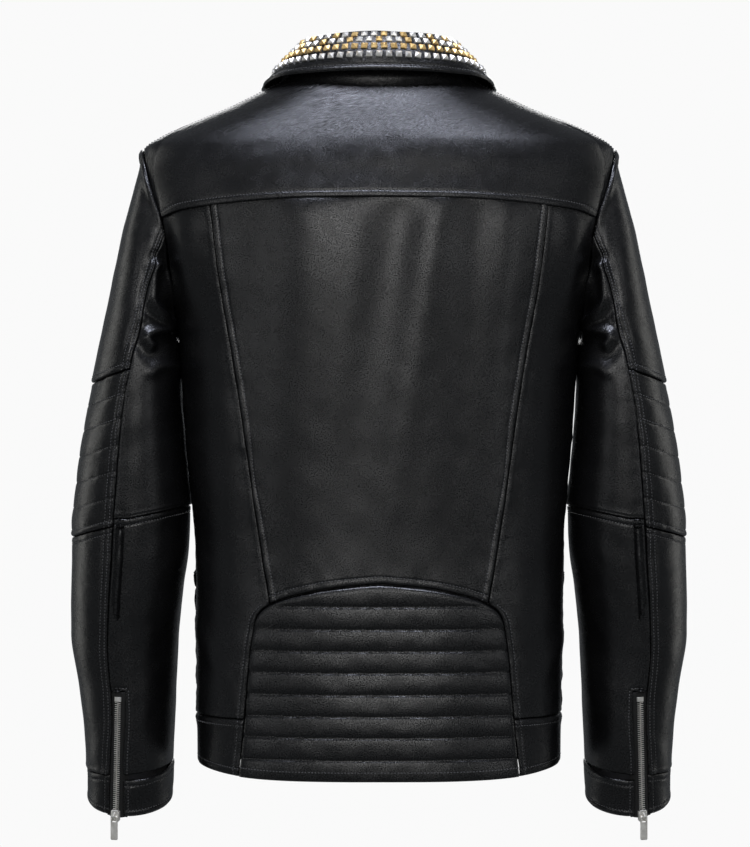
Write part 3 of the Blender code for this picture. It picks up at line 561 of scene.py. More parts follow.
def lit(obj, *nodes, slot="black_leather"):
    """Hides the CAD nodes that a piece replaces; its slot is not used."""
    if nodes:
        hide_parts(*nodes)
    return obj


def panel(patch, name, *nodes, thickness=LEATHER, mirror=False, held="stretched"):
    """A leather panel of the jacket's body."""
    obj = lit(patch.make(name, thickness, mirror=mirror), *nodes)
    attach(obj, "jacket")


def padded_panel(patch, name, node, mirror=False):
    """A quilted panel of the jacket's body, in thicker leather."""
    obj = lit(patch.make(name, PAD_LEATHER, mirror=mirror), node)
    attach(obj, "jacket")


# ---- torso panels ---------------------------------------------------------------------------------
YOKE_STITCH, SHOULDER_STITCH, PRINCESS_STITCH, PAD_STITCH = 0.0062, 0.0130, 0.0068, 0.0066
HEM_STITCH, FRONT_STITCH, LAPEL_STITCH, COLLAR_STITCH = 0.0088, 0.0075, 0.0060, 0.0062
WAISTBAND_ROWS = (("high", 0.0068), ("low", 0.0070))


def body_grid(left, right, low, high, us, vs):
    """A grid on the torso between angle limits at a height and height limits at an angle."""
    u, v = np.meshgrid(us, vs)
    first_z = np.float64(-0.4)
    angle, z = np.full(u.shape, (left(first_z) + right(first_z)) / 2), np.full(u.shape, first_z)
    for _ in range(14):
        z = low(angle) + v * (high(angle) - low(angle))
        angle = left(z) + u * (right(z) - left(z))
    return angle, z


# centre, lean, width and height of each upright fold of the back
BACK_FOLDS = (
    (-0.066, 0.05, 0.034, 0.0044), (0.022, 0.16, 0.021, -0.0038), (0.056, 0.16, 0.018, 0.0034),
    (0.094, 0.08, 0.017, -0.0024), (-0.118, 0.04, 0.018, -0.0018), (-0.188, 0.06, 0.014, 0.0024),
    (0.186, -0.06, 0.014, 0.0024), (-0.020, 0.13, 0.014, 0.0012), (0.128, 0.05, 0.015, 0.0018))


def back_folds(p):
    """Soft upright folds that hang from the yoke, slanting ones at the waist, and broad unevenness."""
    x, z = p[..., 0], p[..., 2]
    folds = sum(height * bell(x - centre - lean * (z + 0.14), width)
                for centre, lean, width, height in BACK_FOLDS)
    fade = np.clip((z + 0.53) / 0.34, 0, 1)
    slanting = sum(bell(-side * x + 0.187 + 0.62 * (z + start), 0.010) * bell(z + middle, 0.045)
                   for side, start, middle in ((-1, 0.545, 0.560), (1, 0.555, 0.570)))
    return (folds * fade + 0.0016 * slanting + 0.0007 * ripple(x, z * 0.45, 0.13, 11)
            + 0.00013 * ripple(x, z * 0.7, 0.035, 12))


def yoke_low_z(angle):
    """The yoke's lower edge: its seam across the back, then up the armhole."""
    seam = yoke_seam_z(np.abs(body(angle, np.float64(-0.14))[..., 0]))
    corner = yoke_seam_z(np.float64(YOKE_CORNER_X)) + 0.0006
    low, high = np.full(np.shape(angle), corner), np.full(np.shape(angle), ARMHOLE_TOP_Z)
    for _ in range(24):
        middle = (low + high) / 2
        before = armhole_angle(middle) < np.abs(angle)
        low, high = np.where(before, middle, low), np.where(before, high, middle)
    up_armhole = np.where(np.abs(angle) >= 89.7, ARMHOLE_TOP_Z, low)
    return np.where(np.abs(angle) < armhole_angle(seam) - 0.01, seam, up_armhole)


def make_yoke():
    """The yoke, lapped over the panels below it."""
    corner = float(armhole_angle(yoke_seam_z(np.float64(YOKE_CORNER_X)) + 0.0006))
    inner = np.linspace(-corner, corner, 150)
    outer = corner + (89.8 - corner) * np.linspace(0, 1, 16)[1:]
    angles = np.concatenate([-outer[::-1], inner, outer])
    angle, v = np.meshgrid(angles, ticks(0.135))
    low = yoke_low_z(angle)
    z = low + v * (neck_z(np.abs(angle)) - low)
    patch = Patch(body(angle, z), 21)
    low_edge = patch.edge["low"]
    on_seam = np.clip((corner - np.abs(angle)) / 1.5, 0, 1)
    patch.push(on_seam * (0.0019 * bell(low_edge, 0.016) - 0.0013 * bell(low_edge, 0.0007)))
    shoulder = np.clip((patch.p[..., 2] + 0.116) / 0.02, 0, 1)
    patch.push(-(1 - on_seam) * 0.0009 * (1 - 1.2 * shoulder) * bell(low_edge, 0.002))
    patch.sew(("low", YOKE_STITCH))
    patch.push(0.0006 * ripple(patch.p[..., 0] * 0.6, patch.p[..., 2], 0.12, 5)
               + 0.00012 * ripple(patch.p[..., 0], patch.p[..., 2], 0.035, 6))
    # the lapped lower edge is painted lighter: mostly a painted highlight where the folded edge catches the
    # top light, with some wear
    patch.wear_and_highlight = 0.8 * bell(low_edge - 0.001, 0.0016) * on_seam
    patch.sew(("left", 0.0085), ("right", 0.0085), depth=0.0013, width=0.0010)
    panel(patch, "yoke_leather", "yoke", thickness=0.0022)
    across = slice(16, len(angles) - 16)
    points, normals = patch.line("low", YOKE_STITCH)
    sew_on("yoke_topstitch", [(points[across], normals[across])])
    sew_on("shoulder_topstitch", patch.lines(("left", SHOULDER_STITCH), ("right", SHOULDER_STITCH)))


def princess_angle(z):
    """The seam between the centre panel and a side panel of the back."""
    return angle_at(princess_x(z), z)


def pad_outline_angle(z):
    """The side panel's inner edge: the princess seam, then round the lumbar pad's shoulder and side."""
    low, high = np.full(np.shape(z), 0.09), np.full(np.shape(z), 0.1205)
    for _ in range(24):
        middle = (low + high) / 2
        above = pad_top_z(middle) > z
        low, high = np.where(above, middle, low), np.where(above, high, middle)
    round_shoulder = angle_at(low, z)
    side = angle_at(pad_half_width(z), z)
    return np.where(z >= PAD_CORNER_Z, princess_angle(z), np.where(z > -0.545, round_shoulder, side))


def make_back():
    """The centre panel, which laps over the lumbar pad's arch."""
    angle, z = body_grid(
        lambda z: -princess_angle(z), princess_angle,
        lambda a: pad_top_z(np.abs(body(a, np.float64(-0.51))[..., 0])),
        lambda a: yoke_seam_z(np.abs(body(a, np.float64(-0.135))[..., 0])) + 0.010,
        ticks(0.31), ticks(0.375, high_fine=False))
    patch = Patch(body(angle, z), 1)
    patch.seam("left", "right", "low")
    for side in ("left", "right"):
        patch.sew((side, PRINCESS_STITCH))
        patch.push(0.0006 * bell(patch.edge[side] - 0.0030, 0.0026))
    patch.sew(("low", PAD_STITCH))
    patch.push(-0.0022 * np.clip(1 - patch.edge["high"] / 0.012, 0, 1)
               + back_folds(patch.p) * (1 - bell(patch.edge["high"], 0.018)))
    panel(patch, "back_centre_leather", "back_centre_panel")
    sew_on("princess_topstitch", patch.lines(("left", PRINCESS_STITCH), ("right", PRINCESS_STITCH)))
    sew_on("pad_arch_topstitch", patch.lines(("low", PAD_STITCH)))


def make_back_sides():
    """The side panels of the back, which lap over the lumbar pad's sides."""
    angle, z = body_grid(
        pad_outline_angle, armhole_angle, fixed(WAIST_SEAM_Z),
        lambda a: yoke_seam_z(np.minimum(YOKE_CORNER_X, np.abs(body(a, np.float64(-0.14))[..., 0]))) + 0.006,
        ticks(0.085), ticks(0.495, high_fine=False))
    for side, mirror in SIDES:
        patch = Patch(body(angle, z), 2 + mirror)
        patch.seam("left", "right", "low")
        inner, top = patch.edge["left"], patch.edge["high"]
        beside_pad = np.clip((PAD_CORNER_Z - 0.002 - patch.p[..., 2]) / 0.004, 0, 1)
        patch.push(beside_pad * (0.0005 * bell(inner - 0.0030, 0.0026)
                                 - 0.0006 * bell(inner - PAD_STITCH, 0.0008)))
        folds = back_folds(patch.p * MIRROR if mirror else patch.p)
        patch.push(-0.0020 * np.clip(1 - top / 0.010, 0, 1) + folds * (1 - bell(top, 0.016)))
        panel(patch, f"back_side_leather_{side}", f"back_side_panel_{side}", mirror=mirror)
        points, normals = patch.line("left", PAD_STITCH)
        beside = points[:, 2] < PAD_CORNER_Z
        sew_on(f"pad_side_topstitch_{side}", [(points[beside], normals[beside])], mirror)


def quilt(patch, lines, depth, height, along):
    """Puffs a panel up between sewn lines, which lie at these values of the coordinate along."""
    lines = np.asarray(lines)
    i = np.clip(np.searchsorted(lines, along, side="right") - 1, 0, len(lines) - 2)
    t = np.clip((along - lines[i]) / (lines[i + 1] - lines[i]), 0, 1)
    puff = np.sin(np.pi * t) ** 0.42
    wobble = 1 + 0.10 * ripple(patch.u, patch.v, 0.030, patch.seed + 3)
    near = np.abs(along[..., None] - lines).min(axis=-1)
    gather = ripple(patch.u, along * 0.25, 0.0105, patch.seed + 4) * np.exp(-near / 0.0032)
    patch.push(height * puff * wobble - depth * bell(near, 0.0008) + 0.00030 * gather)
    # the colour is painted lighter on the crest of each channel: partly wear, partly painted highlight
    patch.wear_and_highlight = np.maximum(patch.wear_and_highlight, 0.4 * puff ** 6)


PAD_TOP_HALF = 0.1205
PAD_LINES = (-0.6985, -0.6762, -0.6546, -0.6341, -0.6133, -0.5922, -0.5713, -0.5503, -0.5283, -0.5075,
             -0.4860)


def make_lumbar_pad():
    """The quilted lumbar pad, set under the panels round it, with level channels down to the hem."""
    round_corner = [PAD_TOP_HALF, 0.1200, 0.1190, 0.1170, 0.1145, 0.1110, 0.1060, 0.1000, 0.0930]
    profile = np.concatenate([round_corner, np.arange(0.0900, 0, -0.0036)])
    tops = np.concatenate([-profile, [0.0], profile[::-1]])
    top_x, v = np.meshgrid(tops, np.arange(0, 0.1905, 0.0012) / 0.1905)
    low = hem_z(angle_at(top_x * pad_half_width(HEM_Z) / PAD_TOP_HALF, HEM_Z + 0.006))
    z = low + v * (pad_top_z(np.abs(top_x)) - low)
    x = top_x * pad_half_width(z) / PAD_TOP_HALF
    patch = Patch(body(angle_at(x, z), z), 9)
    inside = np.minimum(np.minimum(patch.edge["left"], patch.edge["right"]), patch.edge["high"])
    quilted = np.clip((inside - 0.0005) / 0.005, 0, 1) ** 0.6
    plain = patch.p.copy()
    quilt(patch, PAD_LINES, 0.0014, 0.0019, patch.p[..., 2])
    patch.p = plain + (patch.p - plain) * quilted[..., None]
    patch.push(-0.0022 * bell(inside, 0.0009))
    patch.push(0.0007 * ripple(patch.p[..., 0], patch.p[..., 2], 0.11, 14))
    padded_panel(patch, "lumbar_pad_leather", "lumbar_pad")
    rows, cols = [], np.arange(patch.p.shape[1])
    for height in PAD_LINES[1:-1]:
        k = np.argmin(np.abs(patch.p[..., 2] - height), axis=0)
        good = (inside[k, cols] > 0.0020) & (np.abs(patch.p[k, cols, 2] - height) < 0.002)
        if good.sum() > 8:
            rows.append((patch.p[k, cols][good], normals_of(patch.p)[k, cols][good]))
    sew_on("lumbar_pad_stitching", rows)
    sew_on("pad_hem_stitch", patch.lines(("low", HEM_STITCH)))


def make_waistband():
    """The waistband: on each side a back piece beside the pad, and a front piece."""
    side_middle, waist, heights = fixed(90.0), fixed(WAIST_SEAM_Z), ticks(0.053)
    back = body_grid(lambda z: angle_at(pad_half_width(z), z), side_middle, hem_z, waist,
                     ticks(0.075, high_fine=False), heights)
    front = body_grid(side_middle, lambda z: angle_at(np.full(np.shape(z), ZIP_GAP), z, front=True),
                      hem_z, waist, ticks(0.27, low_fine=False), heights)
    for side, mirror in SIDES:
        for name, grid, seams, rows in (("back", back, ("left", "high"), (("left", PAD_STITCH),)),
                                        ("front", front, ("high",), ())):
            patch = Patch(body(*grid), 40 + mirror + len(name))
            patch.seam(*seams)
            patch.push(0.0010 * bell(patch.edge["high"] - 0.006, 0.004)
                       - 0.0012 * bell(patch.edge["low"], 0.0016))
            patch.sew(*WAISTBAND_ROWS)
            sewn = patch.lines(*WAISTBAND_ROWS)
            patch.sew(*rows)
            sewn += patch.lines(*rows)
            patch.push(0.0005 * ripple(patch.u, patch.v, 0.07, 8 + mirror))
            panel(patch, f"waistband_{name}_leather_{side}", f"waistband_{name}_{side}",
                  thickness=TURNED_LEATHER, mirror=mirror)
            sew_on(f"waistband_{name}_stitch_{side}", sewn, mirror)


# ---- front of the body ----------------------------------------------------------------------------
def front_inner_angle(z):
    """A front's edge: beside the zip, then along the lapel's roll, then up round the neck."""
    roll = angle_at(np.maximum(lapel_roll_x(z), ZIP_GAP), z, front=True)
    return np.where(z > -0.030, neck_front_angle(z), roll)


def front_outer_angle(z):
    """A front's other edge: along its quilt, then at the side and up the armhole."""
    return np.where(z < -0.500, quilt_edge_angle(z), 180 - armhole_angle(z))


def rows_patch(zs, left, right, us, seed, inset=0.0):
    """A torso panel whose rows are level."""
    z = np.repeat(np.asarray(zs)[:, None], len(us), axis=1)
    angle = left(z) + us[None, :] * (right(z) - left(z))
    return Patch(body(angle, z, inset(z) if callable(inset) else inset), seed)


def make_front(side, mirror):
    """A front panel, from the side and the armhole to the edge beside the zip."""
    heights = np.concatenate([
        WAIST_SEAM_Z + ticks(0.138, high_fine=False) * 0.138,
        np.arange(-0.4985, -0.262, 0.0042), ARMHOLE_LOW_Z + ticks(0.184) * 0.184,
        [-0.074, -0.070, -0.066, -0.061, -0.056, -0.050, -0.045, -0.040, -0.035, -0.0305, -0.0299],
        [-0.027, -0.024, -0.022, -0.019, -0.017, -0.014, -0.012, -0.0105, -0.009]])
    patch = rows_patch(heights, front_outer_angle, front_inner_angle, ticks(0.29, 0.0040), 60 + mirror)
    patch.seam("left", "low")
    patch.push(-0.0010 * bell(patch.edge["right"], 0.0014))
    patch.sew(("right", FRONT_STITCH))
    x, z = patch.p[..., 0], patch.p[..., 2]
    patch.push(0.0010 * ripple(x, z * 0.45, 0.12, 62 + mirror) + 0.00014 * ripple(x, z, 0.035, 64))
    panel(patch, f"front_leather_{side}", f"front_panel_{side}", mirror=mirror)
    sewn = [tuple(a[:200] for a in patch.line("right", FRONT_STITCH))]
    sew_on(f"front_edge_stitch_{side}", sewn, mirror)


def make_front_quilt(side, mirror):
    """The quilted side panel of the front, up to the waist."""
    rows = WAIST_SEAM_Z + np.concatenate([np.arange(0, 0.1375, 0.0015), [0.1380]])
    patch = rows_patch(rows, fixed(90.0), quilt_edge_angle, ticks(0.115), 70 + mirror)
    lines = WAIST_SEAM_Z - 0.0245 + 0.0245 * np.arange(8)
    quilt(patch, lines, 0.0012, 0.0022, patch.p[..., 2])
    patch.seam("left", "right", "low", depth=0.0030, width=0.0030)
    padded_panel(patch, f"front_side_quilt_leather_{side}", f"front_side_quilt_{side}", mirror)
    stitched = []
    for height in lines[2:7]:
        row = int(np.argmin(np.abs(rows - height)))
        stitched.append((patch.p[row, 9:-9], normals_of(patch.p)[row, 9:-9]))
    sew_on(f"front_side_quilt_stitch_{side}", stitched, mirror)


def make_fronts():
    for side, mirror in SIDES:
        make_front(side, mirror)
        make_front_quilt(side, mirror)
        make_lapel(side, mirror)


lapel_outer_x = curve((0.0, 0.016), (0.35, 0.058), (0.7, 0.096), (1.0, 0.112))
lapel_outer_z = curve((0.0, -0.196), (0.35, -0.163), (0.7, -0.122), (1.0, -0.094))


def on_front(x, z, stand_off):
    """Points over the front at x and z, this far in front of the leather."""
    point = body(angle_at(x, z, front=True), z)
    point[..., 1] += stand_off
    return point


def make_lapel(side, mirror):
    """The turned-back lapel: its outer edge faces the shoulder and its roll is beside the opening."""
    u, v = np.meshgrid(ticks(0.075, 0.003), ticks(0.16, 0.003))
    inner_z = -0.190 + v * 0.140
    x = lapel_roll_x(inner_z) + 0.002
    x = x + u * (lapel_outer_x(v) - x)
    z = inner_z + u * (lapel_outer_z(v) - inner_z)
    points = on_front(x, z, 0.0085 - 0.002 * np.abs(2 * u - 1))[:, ::-1]
    patch = Patch(points, 80 + mirror)
    for edge in ("left", "low", "high"):
        patch.push(-0.0012 * bell(patch.edge[edge], 0.0014))
        patch.sew((edge, LAPEL_STITCH))
    patch.push(-0.0040 * bell(patch.edge["right"], 0.004) + 0.0008 * ripple(patch.u, patch.v, 0.05, 81))
    panel(patch, f"lapel_leather_{side}", f"lapel_{side}", thickness=0.0024, mirror=mirror, held="folded")
    sew_on(f"lapel_stitch_{side}", patch.lines(("left", LAPEL_STITCH), ("high", LAPEL_STITCH)), mirror)


# ---- linings and the hanger loop ------------------------------------------------------------------
def tucked(z):
    """How far the lining runs inside the leather; its lower edge is sewn to the turned-up hem."""
    return lining_inset(z) - 0.0030 * np.clip((-0.664 - z) / 0.012, 0, 1)


def open_side(z):
    """The lining's outer edge, a little inside the armhole's seam."""
    return armhole_angle(z) - np.where((z > ARMHOLE_LOW_Z) & (z < ARMHOLE_TOP_Z), 2.2, 0.2)


def line_with_satin(patch, seed, name, node, mirror=False):
    """A lining of the jacket's body, hanging a little inside its surface."""
    patch.push(-0.0012 * (1 + ripple(patch.u, patch.v * 0.4, 0.06, seed)))
    obj = lit(patch.make(name, SATIN_THICKNESS, SATIN, mirror), node, slot="black_lining")
    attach(obj, "jacket")


def make_linings():
    """The linings of the back and of the fronts."""
    rows = np.concatenate([
        np.arange(-0.678, -0.262, 0.008), ARMHOLE_LOW_Z + ticks(0.184, 0.006) * 0.184,
        [-0.070, -0.062, -0.054, -0.046, -0.038, -0.031, -0.0255]])
    us = np.linspace(0, 1, 66)
    patch = rows_patch(rows, lambda z: -open_side(z), open_side, us, 90, tucked)
    line_with_satin(patch, 91, "lining_back_satin", "lining_back")
    for side, mirror in SIDES:
        patch = rows_patch(rows[rows < -0.034], lambda z: 180 - open_side(z),
                           lambda z: front_inner_angle(z) - np.degrees(0.009 / half_width(z)),
                           us[::2] / us[-2], 92 + mirror, tucked)
        line_with_satin(patch, 93, f"lining_front_satin_{side}", f"lining_front_{side}",
                        mirror)


def tube(name, path, radius, sides, material):
    """A round cord along a path, closed at its ends."""
    tangent = unit(np.gradient(path, axis=0))
    first = unit(np.cross(tangent, np.array([0.0, 1.0, 0.0])))
    second = np.cross(tangent, first)
    turn = np.linspace(0, math.tau, sides, endpoint=False)
    ring = first[:, None] * np.cos(turn)[None, :, None] + second[:, None] * np.sin(turn)[None, :, None]
    width = np.full(len(path), radius)
    width[[0, -1]] *= 0.7
    verts = path[:, None] + ring * width[:, None, None]
    faces = [tuple(f) for f in grid_faces(len(path), sides, closed=True)]
    faces += [tuple(range(sides))[::-1], tuple(range((len(path) - 1) * sides, len(path) * sides))]
    uv = np.stack(np.broadcast_arrays(turn[None, :] * radius, run_length(path)[:, None]), -1).reshape(-1, 2)
    return finish_mesh(name, verts.reshape(-1, 3), faces, material, uv)


LOOP_HALF, LOOP_RISE, LOOP_RADIUS = 0.030, 0.0185, 0.0022
LOOP_FOOT = (0.0330, -0.0125, -0.0190)


def make_hanger_loop():
    """The leather loop at the neck: an arch with its two ends sewn to the collar stand's seam."""
    turns = np.linspace(0, math.pi, 41)
    heights = LOOP_RADIUS - LOOP_RISE * (1 - np.sin(turns))
    arch = np.stack([LOOP_HALF * np.cos(turns), 0 * turns, heights], -1)
    leg = arch[:1] + (np.array([LOOP_FOOT]) - arch[:1]) * np.linspace(1, 0, 7)[:-1, None]
    path = np.concatenate([leg, arch, leg[::-1] * MIRROR])
    for _ in range(2):
        path[1:-1] = (path[:-2] + 2 * path[1:-1] + path[2:]) / 4
    obj = lit(tube("hanger_loop_leather", path, LOOP_RADIUS, 14, LEATHER_SHADE), "hanger_loop")
    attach(obj, "jacket")


# ---- collar ---------------------------------------------------------------------------------------
COLLAR_ANGLE = 132
fold_z = curve((0, 0.0310), (60, 0.0290), (90, 0.0220), (132, -0.0120))
leaf_edge_z = curve((0, -0.0076), (50, -0.0085), (75, -0.0130), (90, -0.0180), (132, -0.0480))
STUD_ROWS = ((0.66, "silver"), (0.45, "gold"), (0.25, "third"), (0.06, "mixed"))
STUD, STUD_PITCH, STUD_HEIGHT = 0.0062, 0.0096, 0.0030


def around(angle, width, back, front, z):
    """Points on an oval round the neck: its half width, and its depths behind and in front."""
    s, c = np.sin(np.radians(angle)), np.cos(np.radians(angle))
    return np.stack([width * s, BODY_Y - np.where(c > 0, back, front) * c, z + 0 * s], -1)


def body_reach(p):
    """How far out points lie: less than 1 inside the torso's surface, and more outside it."""
    x, y, z = p[..., 0], p[..., 1], p[..., 2]
    n = squareness(z)
    depth = np.where(y < BODY_Y, back_depth(z), front_depth(z))
    return ((np.abs(x) / half_width(z)) ** n + (np.abs(y - BODY_Y) / depth) ** n) ** (1 / n)


def stand_off(p, gap):
    """The points, moved out where need be so that they are at least this far from the torso."""
    step = 0.0005
    for _ in range(4):
        here = body_reach(p)
        slope = np.stack([(body_reach(p + step * axis) - here) / step for axis in np.eye(3)], -1)
        size = np.linalg.norm(slope, axis=-1)
        short = np.maximum(gap - (here - 1) / size, 0.0)
        p = p + slope / size[..., None] * short[..., None]
    return p


def leaf(angle, share):
    """Points of the turned-down leaf: a share of 0 is its fold and 1 its edge."""
    angle, share = np.broadcast_arrays(np.asarray(angle, float), np.asarray(share, float))
    turn = np.abs(angle)
    top = around(angle, 0.0788, 0.0655, 0.0700, fold_z(turn))
    edge = around(angle, 0.1168, 0.0850, 0.1120, leaf_edge_z(turn))
    way = edge - top
    way[..., 2] = 0
    way = unit(way)
    crown = 0.0045 * (1 - 0.8 * np.sin(np.radians(turn)) ** 2) * np.sin(np.pi * np.clip(share, 0, 1))
    point = stand_off(top + (edge - top) * share[..., None], 0.0046 - 0.0014 * (1 - share))
    return point + (0.7 * way + np.array([0, 0, 0.7])) * crown[..., None]


def stand_top(angle, drop):
    """Points inside the collar's fold, this far below it."""
    return around(angle, 0.0735, 0.0590, 0.0630, fold_z(np.abs(angle)) - drop)


def make_collar_stand(angles):
    """The upright inner part of the collar, sewn to the neck."""
    turn = np.abs(angles)
    front_low = np.interp(turn, [93, 108, 128, 147], [-0.008, -0.014, -0.022, -0.030])
    base = body(angles, np.where(turn < 90, neck_z(turn), front_low) - 0.004, 0.0030)
    v = np.linspace(0, 1, 16)[:, None, None]
    patch = Patch(base * (1 - v) + stand_top(angles, 0.0035) * v, 100)
    patch.push(-0.0008 * bell(patch.edge["low"] - 0.008, 0.002))
    panel(patch, "collar_stand_leather", "collar_stand", thickness=0.0022)


def make_collar():
    """The collar: its stand, its turned-down leaf and the studs."""
    end = ticks(0.012, 0.0030, high_fine=False)[:-1] * 6
    angles = np.concatenate([end - COLLAR_ANGLE, np.linspace(6 - COLLAR_ANGLE, COLLAR_ANGLE - 6, 170),
                             COLLAR_ANGLE - end[::-1]])
    make_collar_stand(angles)
    rows = [leaf(angles, s) for s in 1 - ticks(0.0505, 0.0024, high_fine=False)]
    over = rows[-1]
    for t in (0.22, 0.45, 0.7, 0.95):
        crown = np.array([0, 0, 0.0030 * math.sin(math.pi * t)])
        rows.append(over * (1 - t) + stand_top(angles, 0.0020) * t + crown)
    patch = Patch(np.array(rows), 101)
    patch.push(0.0009 * bell(patch.edge["low"] - 0.0028, 0.0026) - 0.0014 * bell(patch.edge["low"], 0.0012))
    patch.sew(("low", COLLAR_STITCH), depth=0.0011, width=0.0013)
    for edge in ("left", "right"):
        patch.sew((edge, COLLAR_STITCH), depth=0.0008)
        patch.push(-0.0012 * bell(patch.edge[edge], 0.0012))
    patch.push(0.0007 * ripple(patch.u, patch.v, 0.05, 102))
    # the leaf's lower edge is painted lighter: partly wear, partly a painted highlight on the turned edge
    patch.wear_and_highlight = 0.8 * bell(patch.edge["low"] - 0.0012, 0.0016)
    panel(patch, "collar_leaf_leather", "collar_leaf", thickness=TURNED_LEATHER, held="folded")
    sew_on("collar_stitch", patch.lines(("low", COLLAR_STITCH)))
    make_studs()


def stud_metal(kind, i):
    """The metal of the i-th stud in a row of this kind."""
    gold = {"gold": True, "third": i % 3 == 1, "mixed": (i * 7) % 5 < 2}
    return "gilt" if gold.get(kind, False) else "nickel"


def add_stud(verts, faces, at, x, y):
    """A square pyramid with a short upright rim; x and y are its directions on the leather."""
    normal = np.cross(x, y)
    turn = RNG.normal(0, 0.09)
    x, y = x * math.cos(turn) + y * math.sin(turn), y * math.cos(turn) - x * math.sin(turn)
    first = len(verts)
    for half, height in ((0.50, -0.0006), (0.50, 0.0007), (0.46, 0.0011), (0.05, STUD_HEIGHT)):
        for a, b in ((-1, -1), (1, -1), (1, 1), (-1, 1)):
            verts.append(at + STUD * half * (a * x + b * y) + normal * (height + 0.0004))
    faces += [tuple(int(k) + first for k in f) for f in grid_faces(4, 4, closed=True)]
    faces.append(tuple(first + 12 + a for a in range(4)))
    faces.append(tuple(first + a for a in (3, 2, 1, 0)))


def make_studs():
    """Level rows of studs across the leaf."""
    angles = np.linspace(5 - COLLAR_ANGLE, COLLAR_ANGLE - 5, 500)
    for row, (share, kind) in enumerate(STUD_ROWS, 1):
        line, upper = leaf(angles, share), leaf(angles, share - 0.04)
        length = run_length(line)
        count = int(length[-1] / STUD_PITCH)
        stations = (length[-1] - (count - 1) * STUD_PITCH) / 2 + STUD_PITCH * np.arange(count)
        metals = {"nickel": ([], []), "gilt": ([], [])}

        def point(station, run):
            return np.array([np.interp(station, length, run[:, k]) for k in range(3)])

        for i, station in enumerate(stations):
            at, up, ahead = point(station, line), point(station, upper), point(station + 0.002, line)
            x = unit(ahead - at)
            y = unit((up - at) - x * np.dot(up - at, x))
            add_stud(*metals[stud_metal(kind, i)], at, x, y)
        for metal, (verts, faces) in metals.items():
            if verts:
                name = f"studs_row_{row}_{'silver' if metal == 'nickel' else 'gold'}"
                obj = finish_mesh(name, np.array(verts), faces, NICKEL if metal == "nickel" else GILT)
                obj.data.shade_flat()
                lit(obj, f"collar_studs_row_{row}", slot=metal)
                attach(obj, "jacket")


# ---- sleeves --------------------------------------------------------------------------------------
ARMPIT_FOLD = np.array([      # the crease of the under-sleeve behind the armpit, as x and z
    (0.2179, -0.1960), (0.2208, -0.2019), (0.2218, -0.2195), (0.2221, -0.2293), (0.2198, -0.2352),
    (0.2120, -0.2436), (0.2056, -0.2529), (0.2056, -0.2558), (0.2090, -0.2588), (0.2179, -0.2607),
    (0.2251, -0.2631), (0.2277, -0.2676), (0.2232, -0.2745)])
SECOND_FOLD = np.array([(0.2238, -0.3019), (0.2191, -0.2976), (0.2132, -0.2951), (0.2040, -0.2960)])
BACK_ROWS = (("left", 0.0035), ("left", 0.0088))        # the double row along the sleeve's back seam
PAD_SEAM_ROW, ELBOW_ROW, UNDER_ROW = ("low", 0.0062), ("high", 0.0070), ("high", 0.0068)
CUFF_END_ROWS = (("left", 0.0050), ("right", 0.0050))
CUFF_ROWS = (("high", 0.0064), ("low", 0.0062))
WINDOW_STITCH = 0.0038


def level(height):
    """Where along the sleeve a height line lies, at each angle."""
    turns = np.arange(-180.0, 361.0, 2.5)
    table = sleeve_along(turns, height(turns))
    return lambda angle: np.interp(angle, turns, table)


def drop(angle):
    """How much the elbow pad's lines fall from the sides of the arm to its outside."""
    return PAD_DROP * np.maximum(0.0, np.cos(np.radians(angle * 90 / 74)))


def cuff_seam(angle):
    """The height of the cuff's seam round the arm."""
    return CUFF_SEAM_Z - 0.006 * np.sin(np.radians(angle)) - 0.003 * np.cos(np.radians(angle))


front_seam, under_end, armhole = fixed(FRONT_SEAM), fixed(FRONT_SEAM + 360), fixed(0.012)
pad_top, pad_low = level(lambda angle: PAD_TOP_Z - drop(angle)), level(lambda angle: PAD_LOW_Z - drop(angle))
elbow = level(lambda angle: ELBOW_SEAM_Z + 0.012 * np.maximum(0.0, np.cos(np.radians(180 - angle))))
cuff = level(cuff_seam)


def beside_zip(along):
    """The edge of the cuff zip's window that is away from the back seam."""
    return back_seam(along) + zip_window(along)


def sleeve_patch(start, end, top, low, us, vs, seed, inset=0.0):
    """A panel whose left edge is at the angle end, its right edge at start; it climbs from low to top."""
    u, v = np.meshgrid(us, vs)
    angle = (start(np.float64(7)) + end(np.float64(7))) / 2 + 0 * u
    for _ in range(12):
        along = low(angle) + v * (top(angle) - low(angle))
        angle = end(along) + u * (start(along) - end(along))
    patch = Patch(sleeve(angle, along, inset), seed)
    patch.angle = angle
    return patch


def to_line(p, line):
    """The distance from points to a line of (x, z) points, seen from behind."""
    q = p[..., [0, 2]]
    nearest = np.full(q.shape[:-1], 1.0)
    for a, b in zip(line[:-1], line[1:]):
        t = np.clip(((q - a) @ (b - a)) / ((b - a) @ (b - a)), 0, 1)
        nearest = np.minimum(nearest, np.linalg.norm(q - a - t[..., None] * (b - a), axis=-1))
    return nearest


